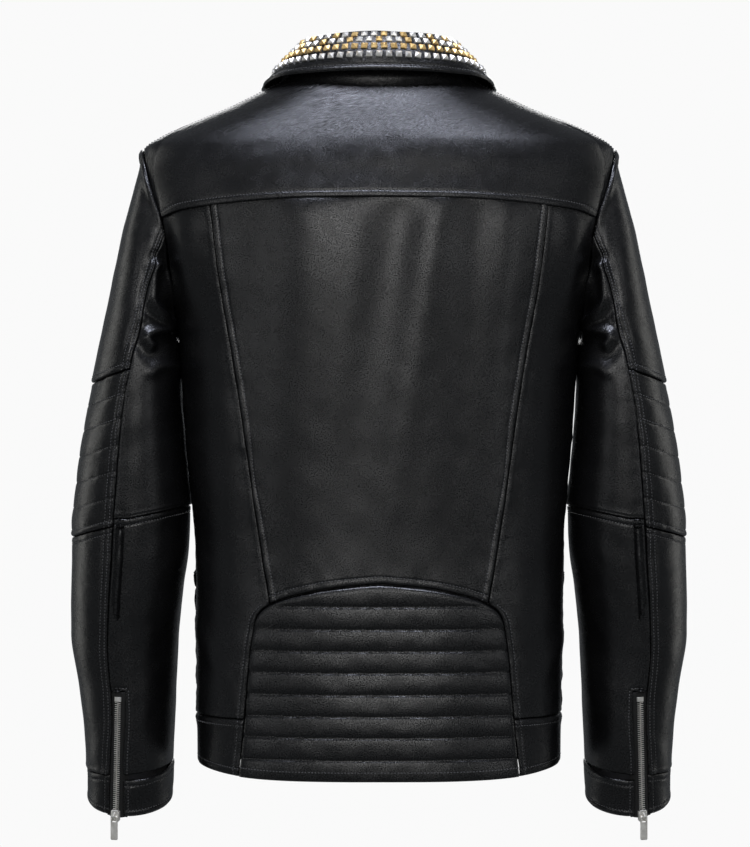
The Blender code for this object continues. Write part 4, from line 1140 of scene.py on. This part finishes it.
def sleeve_folds(patch):
    """Soft unevenness all over, and the folds that gather behind the armpit."""
    p, angle = patch.p, patch.angle
    patch.push(0.0009 * ripple(p[..., 0], p[..., 2] * 0.5, 0.110, patch.seed // 2 + 5)
               + 0.00015 * ripple(patch.u, patch.v, 0.036, patch.seed // 2 + 9))
    behind = np.clip((angle - 40) / 25, 0, 1) * np.clip((215 - angle) / 30, 0, 1)
    crease, second = to_line(p, ARMPIT_FOLD), to_line(p, SECOND_FOLD)
    hollow = bell(p[..., 0] - 0.2060, 0.010) * bell(p[..., 2] + 0.232, 0.026)
    beside_body = np.clip((p[..., 2] + 0.455) / 0.03, 0, 1) * np.clip((-0.25 - p[..., 2]) / 0.02, 0, 1)
    inwards = np.clip(-patch.n[..., 0], 0, 1) ** 4
    patch.push(inwards * (0.0008 * beside_body + 0.0034 * bell(p[..., 2] + 0.285, 0.025)))
    patch.push(behind * (0.0046 * bell(crease, 0.0042) + 0.0032 * bell(second, 0.0048)
                         - 0.0030 * bell(crease - 0.0095, 0.0060) - 0.0010 * hollow))


def bend(obj):
    """Bakes a piece's placement into its mesh, fixing it to no body."""
    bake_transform(obj)


def settle(obj):
    """Puts the thickness into the mesh itself, for a piece whose bends flag is set."""
    bpy.context.view_layer.update()
    mesh = bpy.data.meshes.new_from_object(obj.evaluated_get(bpy.context.evaluated_depsgraph_get()))
    obj.modifiers.clear()
    obj.data = mesh


def carry(obj, side, bends):
    """Fixes a piece to its sleeve, or, when bends is set, only bakes its placement into its mesh."""
    if bends:
        bend(obj)
    else:
        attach(obj, f"sleeve_{side}")


def sew_sleeve(name, lines, side, bends=False):
    sew_on(f"{name}_{side}", lines, side == "left", lambda obj: carry(obj, side, bends))


def add_sleeve_piece(patch, name, node, side, bends=False, thickness=LEATHER,
                     material=LEATHER_SHADE, slot="black_leather"):
    """A sleeve's panel, fixed to the sleeve, or, when bends is set, with its thickness and placement baked
    into its mesh.
    """
    obj = patch.make(f"{name}_{side}", thickness, material, mirror=side == "left")
    lit(obj, f"{node}_{side}", slot=slot)
    if bends:
        settle(obj)
    carry(obj, side, bends)


def make_sleeve_top(side, odd):
    """The upper, outer panel, from the armhole to the elbow pad."""
    patch = sleeve_patch(front_seam, back_seam, armhole, pad_top, ticks(0.165, SLEEVE_STEP),
                         ticks(0.205, SLEEVE_STEP), 110 + odd)
    patch.seam("left", "right", "low")
    patch.seam("high", depth=0.0008)
    head = patch.edge["high"]
    patch.push(0.0013 * bell(head, 0.0016) * np.clip((patch.p[..., 2] + 0.116) / 0.02, 0, 1))
    full = np.clip(np.cos(np.radians(patch.angle)) * 1.6, 0.35, 1)
    patch.push(0.0034 * bell(head - 0.006, 0.006) * full)
    rows = BACK_ROWS + (PAD_SEAM_ROW,)
    patch.sew(*rows)
    sleeve_folds(patch)
    add_sleeve_piece(patch, "sleeve_top_leather", "sleeve_top_upper", side, bends=True)
    sew_sleeve("sleeve_top_stitch", patch.lines(*rows), side, bends=True)


def make_elbow_pad(side, odd):
    """The quilted panel on the outer arm, its channels falling towards the outside."""
    patch = sleeve_patch(front_seam, back_seam, pad_top, pad_low, ticks(0.185, FINE_STEP),
                         np.linspace(0, 1, 130), 112 + odd)
    drape = patch.p[..., 2] + drop(patch.angle)
    lines = np.array([PAD_LOW_Z - 0.0005, -0.4467, -0.4246, -0.3991, -0.3731, -0.3471, -0.3226,
                      PAD_TOP_Z + 0.002])
    quilt(patch, lines, 0.0007, 0.0008, drape)
    patch.seam("left", "right", "low", "high", depth=0.0014, width=0.0010)
    patch.sew(*BACK_ROWS)
    sleeve_folds(patch)
    add_sleeve_piece(patch, "elbow_pad_leather", "elbow_pad", side, thickness=0.0032)
    rows = []
    for height in lines[1:-1]:
        row = int(np.argmin(np.abs(drape[:, drape.shape[1] // 2] - height)))
        rows.append((patch.p[row, 8:-8], normals_of(patch.p)[row, 8:-8]))
    sew_sleeve("elbow_pad_stitch", patch.lines(*BACK_ROWS) + rows, side)


def make_forearm(side, odd):
    """The outer forearm, from the elbow pad to the cuff."""
    patch = sleeve_patch(front_seam, back_seam, pad_low, cuff, ticks(0.165, SLEEVE_STEP),
                         ticks(0.24, SLEEVE_STEP), 114 + odd)
    patch.seam("left", "right", "low", "high")
    rows = BACK_ROWS + (ELBOW_ROW,)
    patch.sew(*rows)
    sleeve_folds(patch)
    add_sleeve_piece(patch, "forearm_leather", "sleeve_top_lower", side)
    sew_sleeve("forearm_stitch", patch.lines(*rows), side)


def make_under_sleeve(side, odd):
    """The upper part of the under-sleeve, from the armhole to the seam behind the elbow."""
    patch = sleeve_patch(back_seam, under_end, armhole, elbow, ticks(0.19, FINE_STEP),
                         ticks(0.25, FINE_STEP), 116 + odd)
    patch.seam("left", "right", "low", "high")
    sleeve_folds(patch)
    patch.sew(("low", 0.0025))
    add_sleeve_piece(patch, "under_sleeve_leather", "sleeve_under_upper", side, bends=True)


def make_cuff(side, odd):
    """The cuff band, open at its zip."""
    patch = sleeve_patch(lambda along: beside_zip(along) - 360, back_seam, cuff, fixed(SLEEVE_END),
                         ticks(0.27, SLEEVE_STEP), ticks(0.040, 0.0026), 120 + odd)
    for row in CUFF_END_ROWS:
        patch.push(-0.0016 * bell(patch.edge[row[0]], 0.0014))
        patch.sew(row)
    patch.seam("high")
    low = patch.edge["low"]
    patch.push(-0.0016 * bell(low, 0.0016) + 0.0008 * bell(low - 0.004, 0.004))
    patch.sew(*CUFF_ROWS)
    patch.push(0.0008 * ripple(patch.u, patch.v, 0.05, 121))
    add_sleeve_piece(patch, "cuff_leather", "cuff_band", side, thickness=0.0032)
    sew_sleeve("cuff_stitch", patch.lines(*CUFF_ROWS, *CUFF_END_ROWS), side)


def make_sleeve_lining(side, odd):
    """The satin tube inside the sleeve."""
    patch = sleeve_patch(fixed(0), fixed(360.0), fixed(0.9), fixed(SLEEVE_END - 0.12),
                         np.linspace(0, 1, 70), np.linspace(0, 1, 90), 122 + odd, LINING_INSET - 0.001)
    round_arm = np.sin(np.radians(patch.angle)) * 0.05
    patch.push(-0.0015 * (1 + ripple(round_arm, patch.v * 0.5, 0.05, 123)))
    patch.p[:, -1] = patch.p[:, 0]
    add_sleeve_piece(patch, "sleeve_lining_satin", "sleeve_lining", side, bends=True,
                     thickness=SATIN_THICKNESS, material=SATIN, slot="black_lining")


def make_sleeves():
    for side, odd in SIDES:
        make_sleeve_top(side, odd)
        make_elbow_pad(side, odd)
        make_forearm(side, odd)
        make_under_sleeve(side, odd)
        make_forearm_under(side, odd)
        make_cuff(side, odd)
        make_sleeve_lining(side, odd)


def make_forearm_under(side, odd):
    """The forearm's under panel, with the zip's window cut out of its corner."""
    zip_top = level(fixed(ZIP_TOP_Z))
    wide, below = ticks(0.150, SLEEVE_STEP), ticks(0.083, SLEEVE_STEP)
    u, v = np.meshgrid(np.concatenate([wide, 1 + ticks(0.0160, 0.0028)[1:]]),
                       np.concatenate([below, 1 + ticks(0.165, SLEEVE_STEP)[1:]]))
    angle = 150.0 + 0 * u
    for _ in range(12):
        lower = cuff(angle) + np.minimum(v, 1) * (zip_top(angle) - cuff(angle))
        along = lower + np.maximum(v - 1, 0) * (elbow(angle) - zip_top(angle))
        edge = beside_zip(along)
        angle = under_end(along) + np.minimum(u, 1) * (edge - under_end(along))
        angle = angle + np.maximum(u - 1, 0) * (back_seam(along) - edge)
    patch = Patch(sleeve(angle, along), 118 + odd)
    patch.angle = angle
    patch.seam("left", "high")
    column, top_row = len(wide) - 1, len(below) - 1
    across = np.maximum(patch.u[:, column][:, None] - patch.u, 0)
    over = np.maximum(patch.v - patch.v[top_row][None, :], 0)
    window = np.hypot(across, over)
    above_window = np.arange(v.shape[0])[:, None] >= top_row
    right = np.where(above_window, patch.edge["right"], 1.0)
    patch.push(-0.0017 * bell(right, 0.0011) + 0.0003 * bell(right - 0.0035, 0.0022))
    patch.push(-0.0016 * bell(window, 0.0014) - 0.0007 * bell(window - WINDOW_STITCH, 0.0011))
    patch.push(-0.0017 * bell(patch.edge["low"], 0.0011))
    patch.sew(UNDER_ROW)
    sleeve_folds(patch)
    patch.keep = above_window[:-1] | (np.arange(v.shape[1] - 1)[None, :] < column)
    points, normals = patch.p, normals_of(patch.p)
    beside = patch.u[top_row // 2, column] - WINDOW_STITCH
    above = patch.v[top_row, column] + WINDOW_STITCH
    stitch_column = int(np.argmin(np.abs(patch.u[top_row // 2] - beside)))
    stitch_row = int(np.argmin(np.abs(patch.v[:, column] - above)))
    lines = patch.lines(UNDER_ROW)
    lines.append((points[:stitch_row + 1, stitch_column], normals[:stitch_row + 1, stitch_column]))
    lines.append((points[stitch_row, stitch_column:-3], normals[stitch_row, stitch_column:-3]))
    add_sleeve_piece(patch, "forearm_under_leather", "sleeve_under_lower", side)
    sew_sleeve("forearm_under_stitch", lines, side)


# ---- zips -----------------------------------------------------------------------------------------
SLIDER_TOP, SLIDER_LOW, EYE_Y = 0.0032, -0.0012, 0.0046      # heights above the teeth's middle
TOOTH_PITCH = 0.0021
PULL_HALF, PULL_TOP, PULL_LOW, PULL_CORNER = 0.0037, 0.0007, -0.0233, 0.0014
SLIDER_BESIDE = (                   # half of the slider's outline, from its narrow end to its wide one
    (0.0029, -0.0060), (0.0040, -0.0030), (0.0044, 0.0010), (0.0044, 0.0044), (0.0033, 0.0060),
    (0.0012, 0.0054))


class Place:
    """A frame for hardware: across, out of the garment, and along the zip."""

    def __init__(self, turn, origin):
        self.turn, self.origin = turn, np.asarray(origin, float)

    def __call__(self, points):
        return np.asarray(points) @ self.turn.T + self.origin

    def shifted(self, y, z):
        return Place(self.turn, self([0, y, z]))


def zip_place(top, low, outwards):
    """The frame of a zip whose teeth run from low to top, and their length."""
    along = unit(top - low)
    outwards = unit(outwards - along * (outwards @ along))
    turn = np.column_stack([np.cross(outwards, along), outwards, along])
    return Place(turn, low), float(np.linalg.norm(top - low))


def hardware(name, node, shape, place, rider, mirror=False, material=ZIP_NICKEL):
    """A metal piece, put in its place."""
    verts, faces = shape
    verts = place(verts) * MIRROR if mirror else place(verts)
    faces = [tuple(f)[::-1] if mirror else tuple(f) for f in faces]
    obj = lit(finish_mesh(name, verts, faces, material), node, slot="nickel")
    obj.data.shade_flat()
    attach(obj, rider)


def stack(outline, levels):
    """A closed solid: the outline (x, z) at each (y, inset) level, from the lowest to the highest."""
    outline = np.asarray(outline, float)
    middle = (outline.min(axis=0) + outline.max(axis=0)) / 2
    half = (outline.max(axis=0) - outline.min(axis=0)) / 2
    n = len(outline)
    flat = np.array([((p - middle) * (1 - inset / half) + middle) for _, inset in levels for p in outline])
    verts = np.column_stack([flat[:, 0], np.repeat([y for y, _ in levels], n), flat[:, 1]])
    faces = [tuple(f)[::-1] for f in grid_faces(len(levels), n, closed=True)]
    faces += [tuple(range(n)), tuple(range((len(levels) - 1) * n, len(levels) * n))[::-1]]
    return verts, faces


def joined(shapes):
    """Several shapes as one."""
    verts, faces = [], []
    for v, f in shapes:
        faces += [tuple(int(i) + len(verts) for i in face) for face in f]
        verts += list(v)
    return np.array(verts), faces


def block(width, length, levels, x=0.0, z=0.0):
    """A rectangular block about x and z, with these levels."""
    corners = ((-1, -1), (1, -1), (1, 1), (-1, 1))
    return stack([(x + a * width / 2, z + b * length / 2) for a, b in corners], levels)


def teeth_shapes(length, side, start=0.0):
    """One side's teeth, from start to length, each with a narrower head that reaches past the middle."""
    shapes = []
    for z in np.arange(start + (0.0005 if side > 0 else 0.0005 + TOOTH_PITCH / 2), length, TOOTH_PITCH):
        outline = [(-0.0007, -0.0003), (0.0009, -0.00038), (0.0030, -0.00038), (0.0030, 0.00038),
                   (0.0009, 0.00038), (-0.0007, 0.0003)]
        outline = [(side * x, z + dz) for x, dz in (outline if side > 0 else outline[::-1])]
        shapes.append(stack(outline, [(-0.0009, 0.0001), (0.0004, 0.0), (0.0009, 0.0002)]))
    return shapes


def chain(length):
    """Both sides' teeth, closed."""
    return joined(teeth_shapes(length, 1) + teeth_shapes(length, -1))


def bail_shape():
    """The slider's arched bail, a bent flat bar."""
    turn = np.linspace(0, math.pi, 15)
    path = np.stack([SLIDER_TOP - 0.0004 + 0.0033 * np.sin(turn) ** 0.7, -0.0033 * np.cos(turn)], -1)
    tangent = unit(np.gradient(path, axis=0))
    normal = np.stack([tangent[:, 1], -tangent[:, 0]], -1) * 0.00042
    verts = []
    for p, n in zip(path, normal):
        for x, s in ((-0.0007, -1), (0.0007, -1), (0.0007, 1), (-0.0007, 1)):
            verts.append((x, p[0] + s * n[0], p[1] + s * n[1]))
    faces = [tuple(f) for f in grid_faces(len(path), 4, closed=True)]
    faces += [(3, 2, 1, 0), tuple(len(verts) - 4 + i for i in range(4))]
    return np.array(verts), faces


def slider_shapes(way):
    """The slider: a shield plate with side flanges, and the arched bail. way is 1 if its wide end is up."""
    shield = [(way * x, way * z) for x, z in SLIDER_BESIDE]
    shield += [(-way * x, way * z) for x, z in SLIDER_BESIDE[::-1]]
    shapes = [stack(shield, [(0.0016, 0.0003), (0.0019, 0.0), (0.0028, 0.0), (SLIDER_TOP, 0.0004)])]
    for side in (-1, 1):
        shapes.append(block(0.0009, 0.0096, [(SLIDER_LOW, 0.0001), (0.0020, 0.0)], side * 0.0039))
    return shapes + [bail_shape()]


def pull_shape():
    """The plain flat tab, with a window at its top whose upper bar runs through the bail."""
    right, top, low = PULL_HALF - PULL_CORNER, PULL_TOP - PULL_CORNER, PULL_LOW + PULL_CORNER
    loop = []
    for cx, cz, first in ((right, top, 0), (-right, top, 90), (-right, low, 180), (right, low, 270)):
        for a in np.radians(np.linspace(first, first + 90, 6)):
            loop.append((cx + PULL_CORNER * math.cos(a), cz + PULL_CORNER * math.sin(a)))
    outer = []
    for (x0, z0), (x1, z1) in zip(loop, loop[1:] + loop[:1]):
        steps = max(1, int(math.hypot(x1 - x0, z1 - z0) / 0.0011))
        outer += [(x0 + (x1 - x0) * k / steps, z0 + (z1 - z0) * k / steps) for k in range(steps)]
    outer = np.array(outer)
    window = np.array([0, -0.0032])
    ray = outer - window
    reach = np.min(np.array([0.0021, 0.0025]) / np.maximum(np.abs(ray), 1e-9), axis=1)
    inner = window + ray * reach[:, None]
    middle = np.array([0, (PULL_TOP + PULL_LOW) / 2])
    inset = middle + (outer - middle) * [0.80, 0.955]
    rings = [(inset, 0.0007), (outer, 0.00025), (outer, -0.00025), (inset, -0.0007), (inner, -0.0007),
             (inner, 0.0007)]
    verts = np.stack([np.column_stack([p[:, 0], np.full(len(p), y), p[:, 1]]) for p, y in rings], 1)
    n = len(outer)
    faces = []
    for i in range(n):
        for k in range(6):
            here, beyond, after = i * 6, (i + 1) % n * 6, (k + 1) % 6
            faces.append((here + k, here + after, beyond + after, beyond + k))
    return verts.reshape(-1, 3), faces


def zip_hardware(name, place, slider_at, bodies, mirror, way):
    """A zip's slider, and its pull, which hangs plumb from the bail."""
    slider, pull = bodies
    hardware(f"{name}_slider_metal", f"{name}_slider", joined(slider_shapes(way)),
             place.shifted(0, slider_at), slider, mirror)
    outwards = unit(place.turn[:, 1] * [1, 1, 0])
    turn = np.column_stack([np.cross(outwards, [0, 0, 1]), outwards, [0, 0, 1]])
    hinge = Place(turn, place.shifted(EYE_Y, slider_at).origin)
    hardware(f"{name}_pull_metal", f"{name}_pull", pull_shape(), hinge, pull, mirror, NICKEL)


def tape_patch(place, length, half, lower, seed, start=-0.001):
    """A zip's tape: flat beside the teeth, its edges pressed under the leather."""
    x, z = np.meshgrid(np.linspace(-half, half, 28), np.linspace(start, length, 60))
    y = -0.0011 - lower * np.clip((np.abs(x) - half * 0.45) / (half * 0.35), 0, 1) ** 1.5
    points = place(np.stack([x, y, z], -1).reshape(-1, 3)).reshape(*x.shape, 3)
    return Patch(points[:, ::-1] if place.turn[0, 0] < 0 else points, seed)


def add_tape(tape, zip_name, thickness, rider, *nodes, mirror=False):
    obj = lit(tape.make(f"{zip_name}_tape_cloth", thickness, TAPE, mirror), *nodes, slot="zip_tape")
    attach(obj, rider)


def make_cuff_zips():
    """The cuff zips: tape, teeth, a stop at the top, and the slider at the hem."""
    def point(along, turn=0.0):
        return sleeve(back_seam(along) + zip_window(along) * 0.54 + turn, along)

    top, low = point(sleeve_along(81.0, ZIP_TOP_Z - 0.004)), point(np.float64(SLEEVE_END))
    outwards = np.cross(point(np.float64(13), 6) - point(np.float64(13), -6), top - low)
    place, length = zip_place(top, low, -outwards if outwards[1] > 0 else outwards)
    stop = block(0.0066, 0.0046, [(-0.0011, 0.0001), (0.0009, 0.0), (0.0014, 0.0005)], z=length - 0.0033)
    for side, mirror in SIDES:
        name, rider = f"cuff_zip_{side}", f"sleeve_{side}"
        tape = tape_patch(place, length + 0.004, 0.0105, 0.0035, 130 + mirror)
        add_tape(tape, name, 0.0008, rider, f"{name}_tape", mirror=mirror)
        hardware(f"{name}_teeth_metal", f"{name}_teeth", chain(length - 0.006), place, rider, mirror)
        hardware(f"{name}_stop_metal", f"{name}_stop", stop, place, rider, mirror)
        zip_hardware(name, place, 0.0012, (f"cuff_slider_{side}", f"cuff_pull_{side}"), mirror, -1)


def make_front_zip():
    """The front zip, its slider at the lapels' break and its box at the hem."""
    zero = np.float64(0)
    top, low = on_front(zero, LAPEL_BREAK_Z + 0.004, -0.0010), on_front(zero, np.float64(HEM_Z), -0.0010)
    place, length = zip_place(top, low, np.array([0.0, 1.0, 0.0]))
    add_tape(tape_patch(place, length - 0.001, 0.0100, 0.0026, 140, 0.001), "front_zip", 0.0007, "jacket")
    for side, sign in (("right", 1), ("left", -1)):
        teeth = joined(teeth_shapes(length - 0.005, sign, 0.006))
        hardware(f"front_zip_teeth_{side}", f"front_zip_chain_{side}", teeth, place, "jacket")
    box = block(0.0076, 0.0044, [(-0.0013, 0.0002), (0.0010, 0.0), (0.0014, 0.0004)], z=0.0025)
    hardware("front_zip_box_metal", "front_zip_box", box, place, "jacket")
    zip_hardware("front_zip", place, length - 0.012, ("front_slider", "front_pull"), False, 1)


def make_pocket_zips():
    """The slanting pocket zips of the fronts, each inside its welt."""
    top = on_front(np.float64(0.072), np.float64(-0.405), 0.0022)
    low = on_front(np.float64(0.104), np.float64(-0.535), 0.0022)
    place, length = zip_place(top, low, np.array([0.35, 1.0, 0.0]))
    raised = place.shifted(0.0014, 0)
    for side, mirror in SIDES:
        name = f"pocket_zip_{side}"
        hardware(f"{name}_teeth_metal", f"{name}_chain", chain(length), raised, "jacket", mirror)
        bodies = f"pocket_slider_{side}", f"pocket_pull_{side}"
        zip_hardware(name, raised, length - 0.008, bodies, mirror, 1)
        tape = tape_patch(place.shifted(0.0008, 0), length + 0.004, 0.0064, 0.0012, 144 + mirror, -0.004)
        add_tape(tape, name, 0.0006, "jacket", mirror=mirror)
        make_welt(name, place, length, mirror)


def make_welt(name, place, length, mirror):
    """The leather welt sewn round a pocket zip."""
    turns = np.linspace(0, math.tau, 121)[:-1]
    s, c = np.sin(turns), np.cos(turns)
    power = 2 / 9
    outline = np.stack([np.sign(c) * np.abs(c) ** power, np.sign(s) * np.abs(s) ** power], -1)
    rows = []
    for t in np.linspace(0, 1, 10):
        wide, long = 0.0044 + 0.0068 * t, length / 2 + 0.0052 + 0.0068 * t
        y = 0.0024 * math.sin(math.pi * min(1.0, 0.22 + 0.78 * t)) ** 0.6 - 0.0022 * t ** 2
        x, z = outline[:, 0] * wide, outline[:, 1] * long + length / 2
        row = np.column_stack([x, np.full(len(turns), y), z])
        bowed = place(row)
        reach = bowed[:, 1] - on_front(bowed[:, 0], bowed[:, 2], 0.0)[:, 1]
        row[:, 1] -= np.clip(reach - 0.0022, 0, 0.004) * 0.9
        rows.append(place(row))
    points = np.array(rows)
    points = np.concatenate([points, points[:, :1]], axis=1)
    patch = Patch(points, 150 + mirror)
    if np.mean(patch.n @ place.turn[:, 1]) < 0:
        patch = Patch(points[:, ::-1], 150 + mirror)
    panel(patch, f"{name}_welt", thickness=0.0012, mirror=mirror)
    sewn_row = 8
    sew_on(f"{name}_welt_stitch", [(patch.p[sewn_row], normals_of(patch.p)[sewn_row])], mirror)


# ---- stage ----------------------------------------------------------------------------------------
FLOOR_Z = -0.86
FLOOR_RINGS = ((8.0, FLOOR_Z), (14.0, FLOOR_Z), (17.0, -0.6), (19.0, 0.6), (20.0, 2.5), (20.0, 12.0))
MIDDLE = (0, 0, -0.35)
# name, place, target, size, watts and colour of each soft light
LIGHTS = [
    ("top_softbox", (0, -0.42, 1.31), (0, -0.03, -0.05), (1.15, 0.50), 31, (0.80, 0.84, 1.0)),
    ("front_softbox", (0, -3.3, -0.1), MIDDLE, (2.2, 1.1), 12, (1.0, 0.99, 0.97)),
    ("high_softbox", (0, -3.1, 1.0), MIDDLE, (2.0, 1.0), 22, (1.0, 0.99, 0.98))]
for way in (-1, 1):
    LIGHTS.append((f"rim_strip_{way}", (way * 1.7, 0.75, -0.1), (way * 0.28, 0.05, -0.35), (0.45, 1.9), 4.0,
                   (1.0, 0.99, 0.94)))
    LIGHTS.append((f"fill_card_{way}", (way * 2.3, -2.2, 0.1), MIDDLE, (0.9, 1.8), 6, (1.0, 1.0, 1.0)))
LIGHTS.append(("front_side", (0, 3.3, 0.6), (0, 0.1, -0.3), (1.6, 1.2), 20, (1.0, 1.0, 1.0)))
CAMERA_DISTANCE, CAMERA_X, CAMERA_Z = 3.0, -0.004, -0.3515
LENS, SENSOR = 127.5, 36


def area_light(name, place, target, size, power, colour):
    """A soft light that the camera doesn't see, turned to its target."""
    data = bpy.data.lights.new(name, "AREA")
    data.shape = "RECTANGLE"
    data.size, data.size_y = size
    data.energy = power
    data.color = colour
    obj = bpy.data.objects.new(name, data)
    obj.location = place
    obj.rotation_euler = (Vector(target) - Vector(place)).to_track_quat("-Z", "Y").to_euler()
    obj.visible_camera = False
    bpy.context.scene.collection.objects.link(obj)


def make_floor():
    """A pale floor that curves up into a backdrop all round, seen by the camera only."""
    turns = np.linspace(0, math.tau, 65)[:-1]
    verts = [(r * math.cos(a), r * math.sin(a), z) for r, z in FLOOR_RINGS for a in turns]
    faces = [tuple(f) for f in grid_faces(len(FLOOR_RINGS), len(turns), closed=True, flip=True)]
    faces.append(tuple(range(len(turns))))
    pale = Nodes("pale_floor")
    glow = pale.add("ShaderNodeEmission", {"Color": (0.955, 0.955, 0.955, 1), "Strength": 1.0})
    pale.tree.links.new(glow.outputs[0], pale.tree.nodes["Material Output"].inputs[0])
    floor = finish_mesh("floor", np.array(verts), faces, pale.material)
    for ray in ("diffuse", "glossy", "transmission", "shadow"):
        setattr(floor, "visible_" + ray, False)


def make_stage():
    """The floor, the light all round, the soft lights and the camera."""
    scene = bpy.context.scene
    make_floor()
    world = bpy.data.worlds.new("studio")
    world.use_nodes = True
    background = world.node_tree.nodes["Background"]
    background.inputs[0].default_value = (0.8, 0.85, 0.9, 1)
    background.inputs[1].default_value = 0.17
    scene.world = world
    for light in LIGHTS:
        area_light(*light)
    camera = bpy.data.objects.new("camera", bpy.data.cameras.new("camera"))
    camera.data.sensor_width, camera.data.lens = SENSOR, LENS
    camera.location = (CAMERA_X, BODY_Y - CAMERA_DISTANCE, CAMERA_Z)
    camera.rotation_euler = (math.pi / 2, 0, 0)
    scene.collection.objects.link(camera)
    scene.camera = camera
    scene.view_settings.view_transform = "Standard"


def sew_all():
    """Makes the noted rows of stitching, each fixed to the body that carries it or with its placement baked.
    """
    for name, lines, mirror, fix in SEWN:
        obj = stitches(name, lines, mirror)
        fix(obj)


make_stage()
make_yoke()
make_back()
make_back_sides()
make_lumbar_pad()
make_waistband()
make_fronts()
make_linings()
make_hanger_loop()
make_collar()
make_sleeves()
make_cuff_zips()
make_front_zip()
make_pocket_zips()
sew_all()
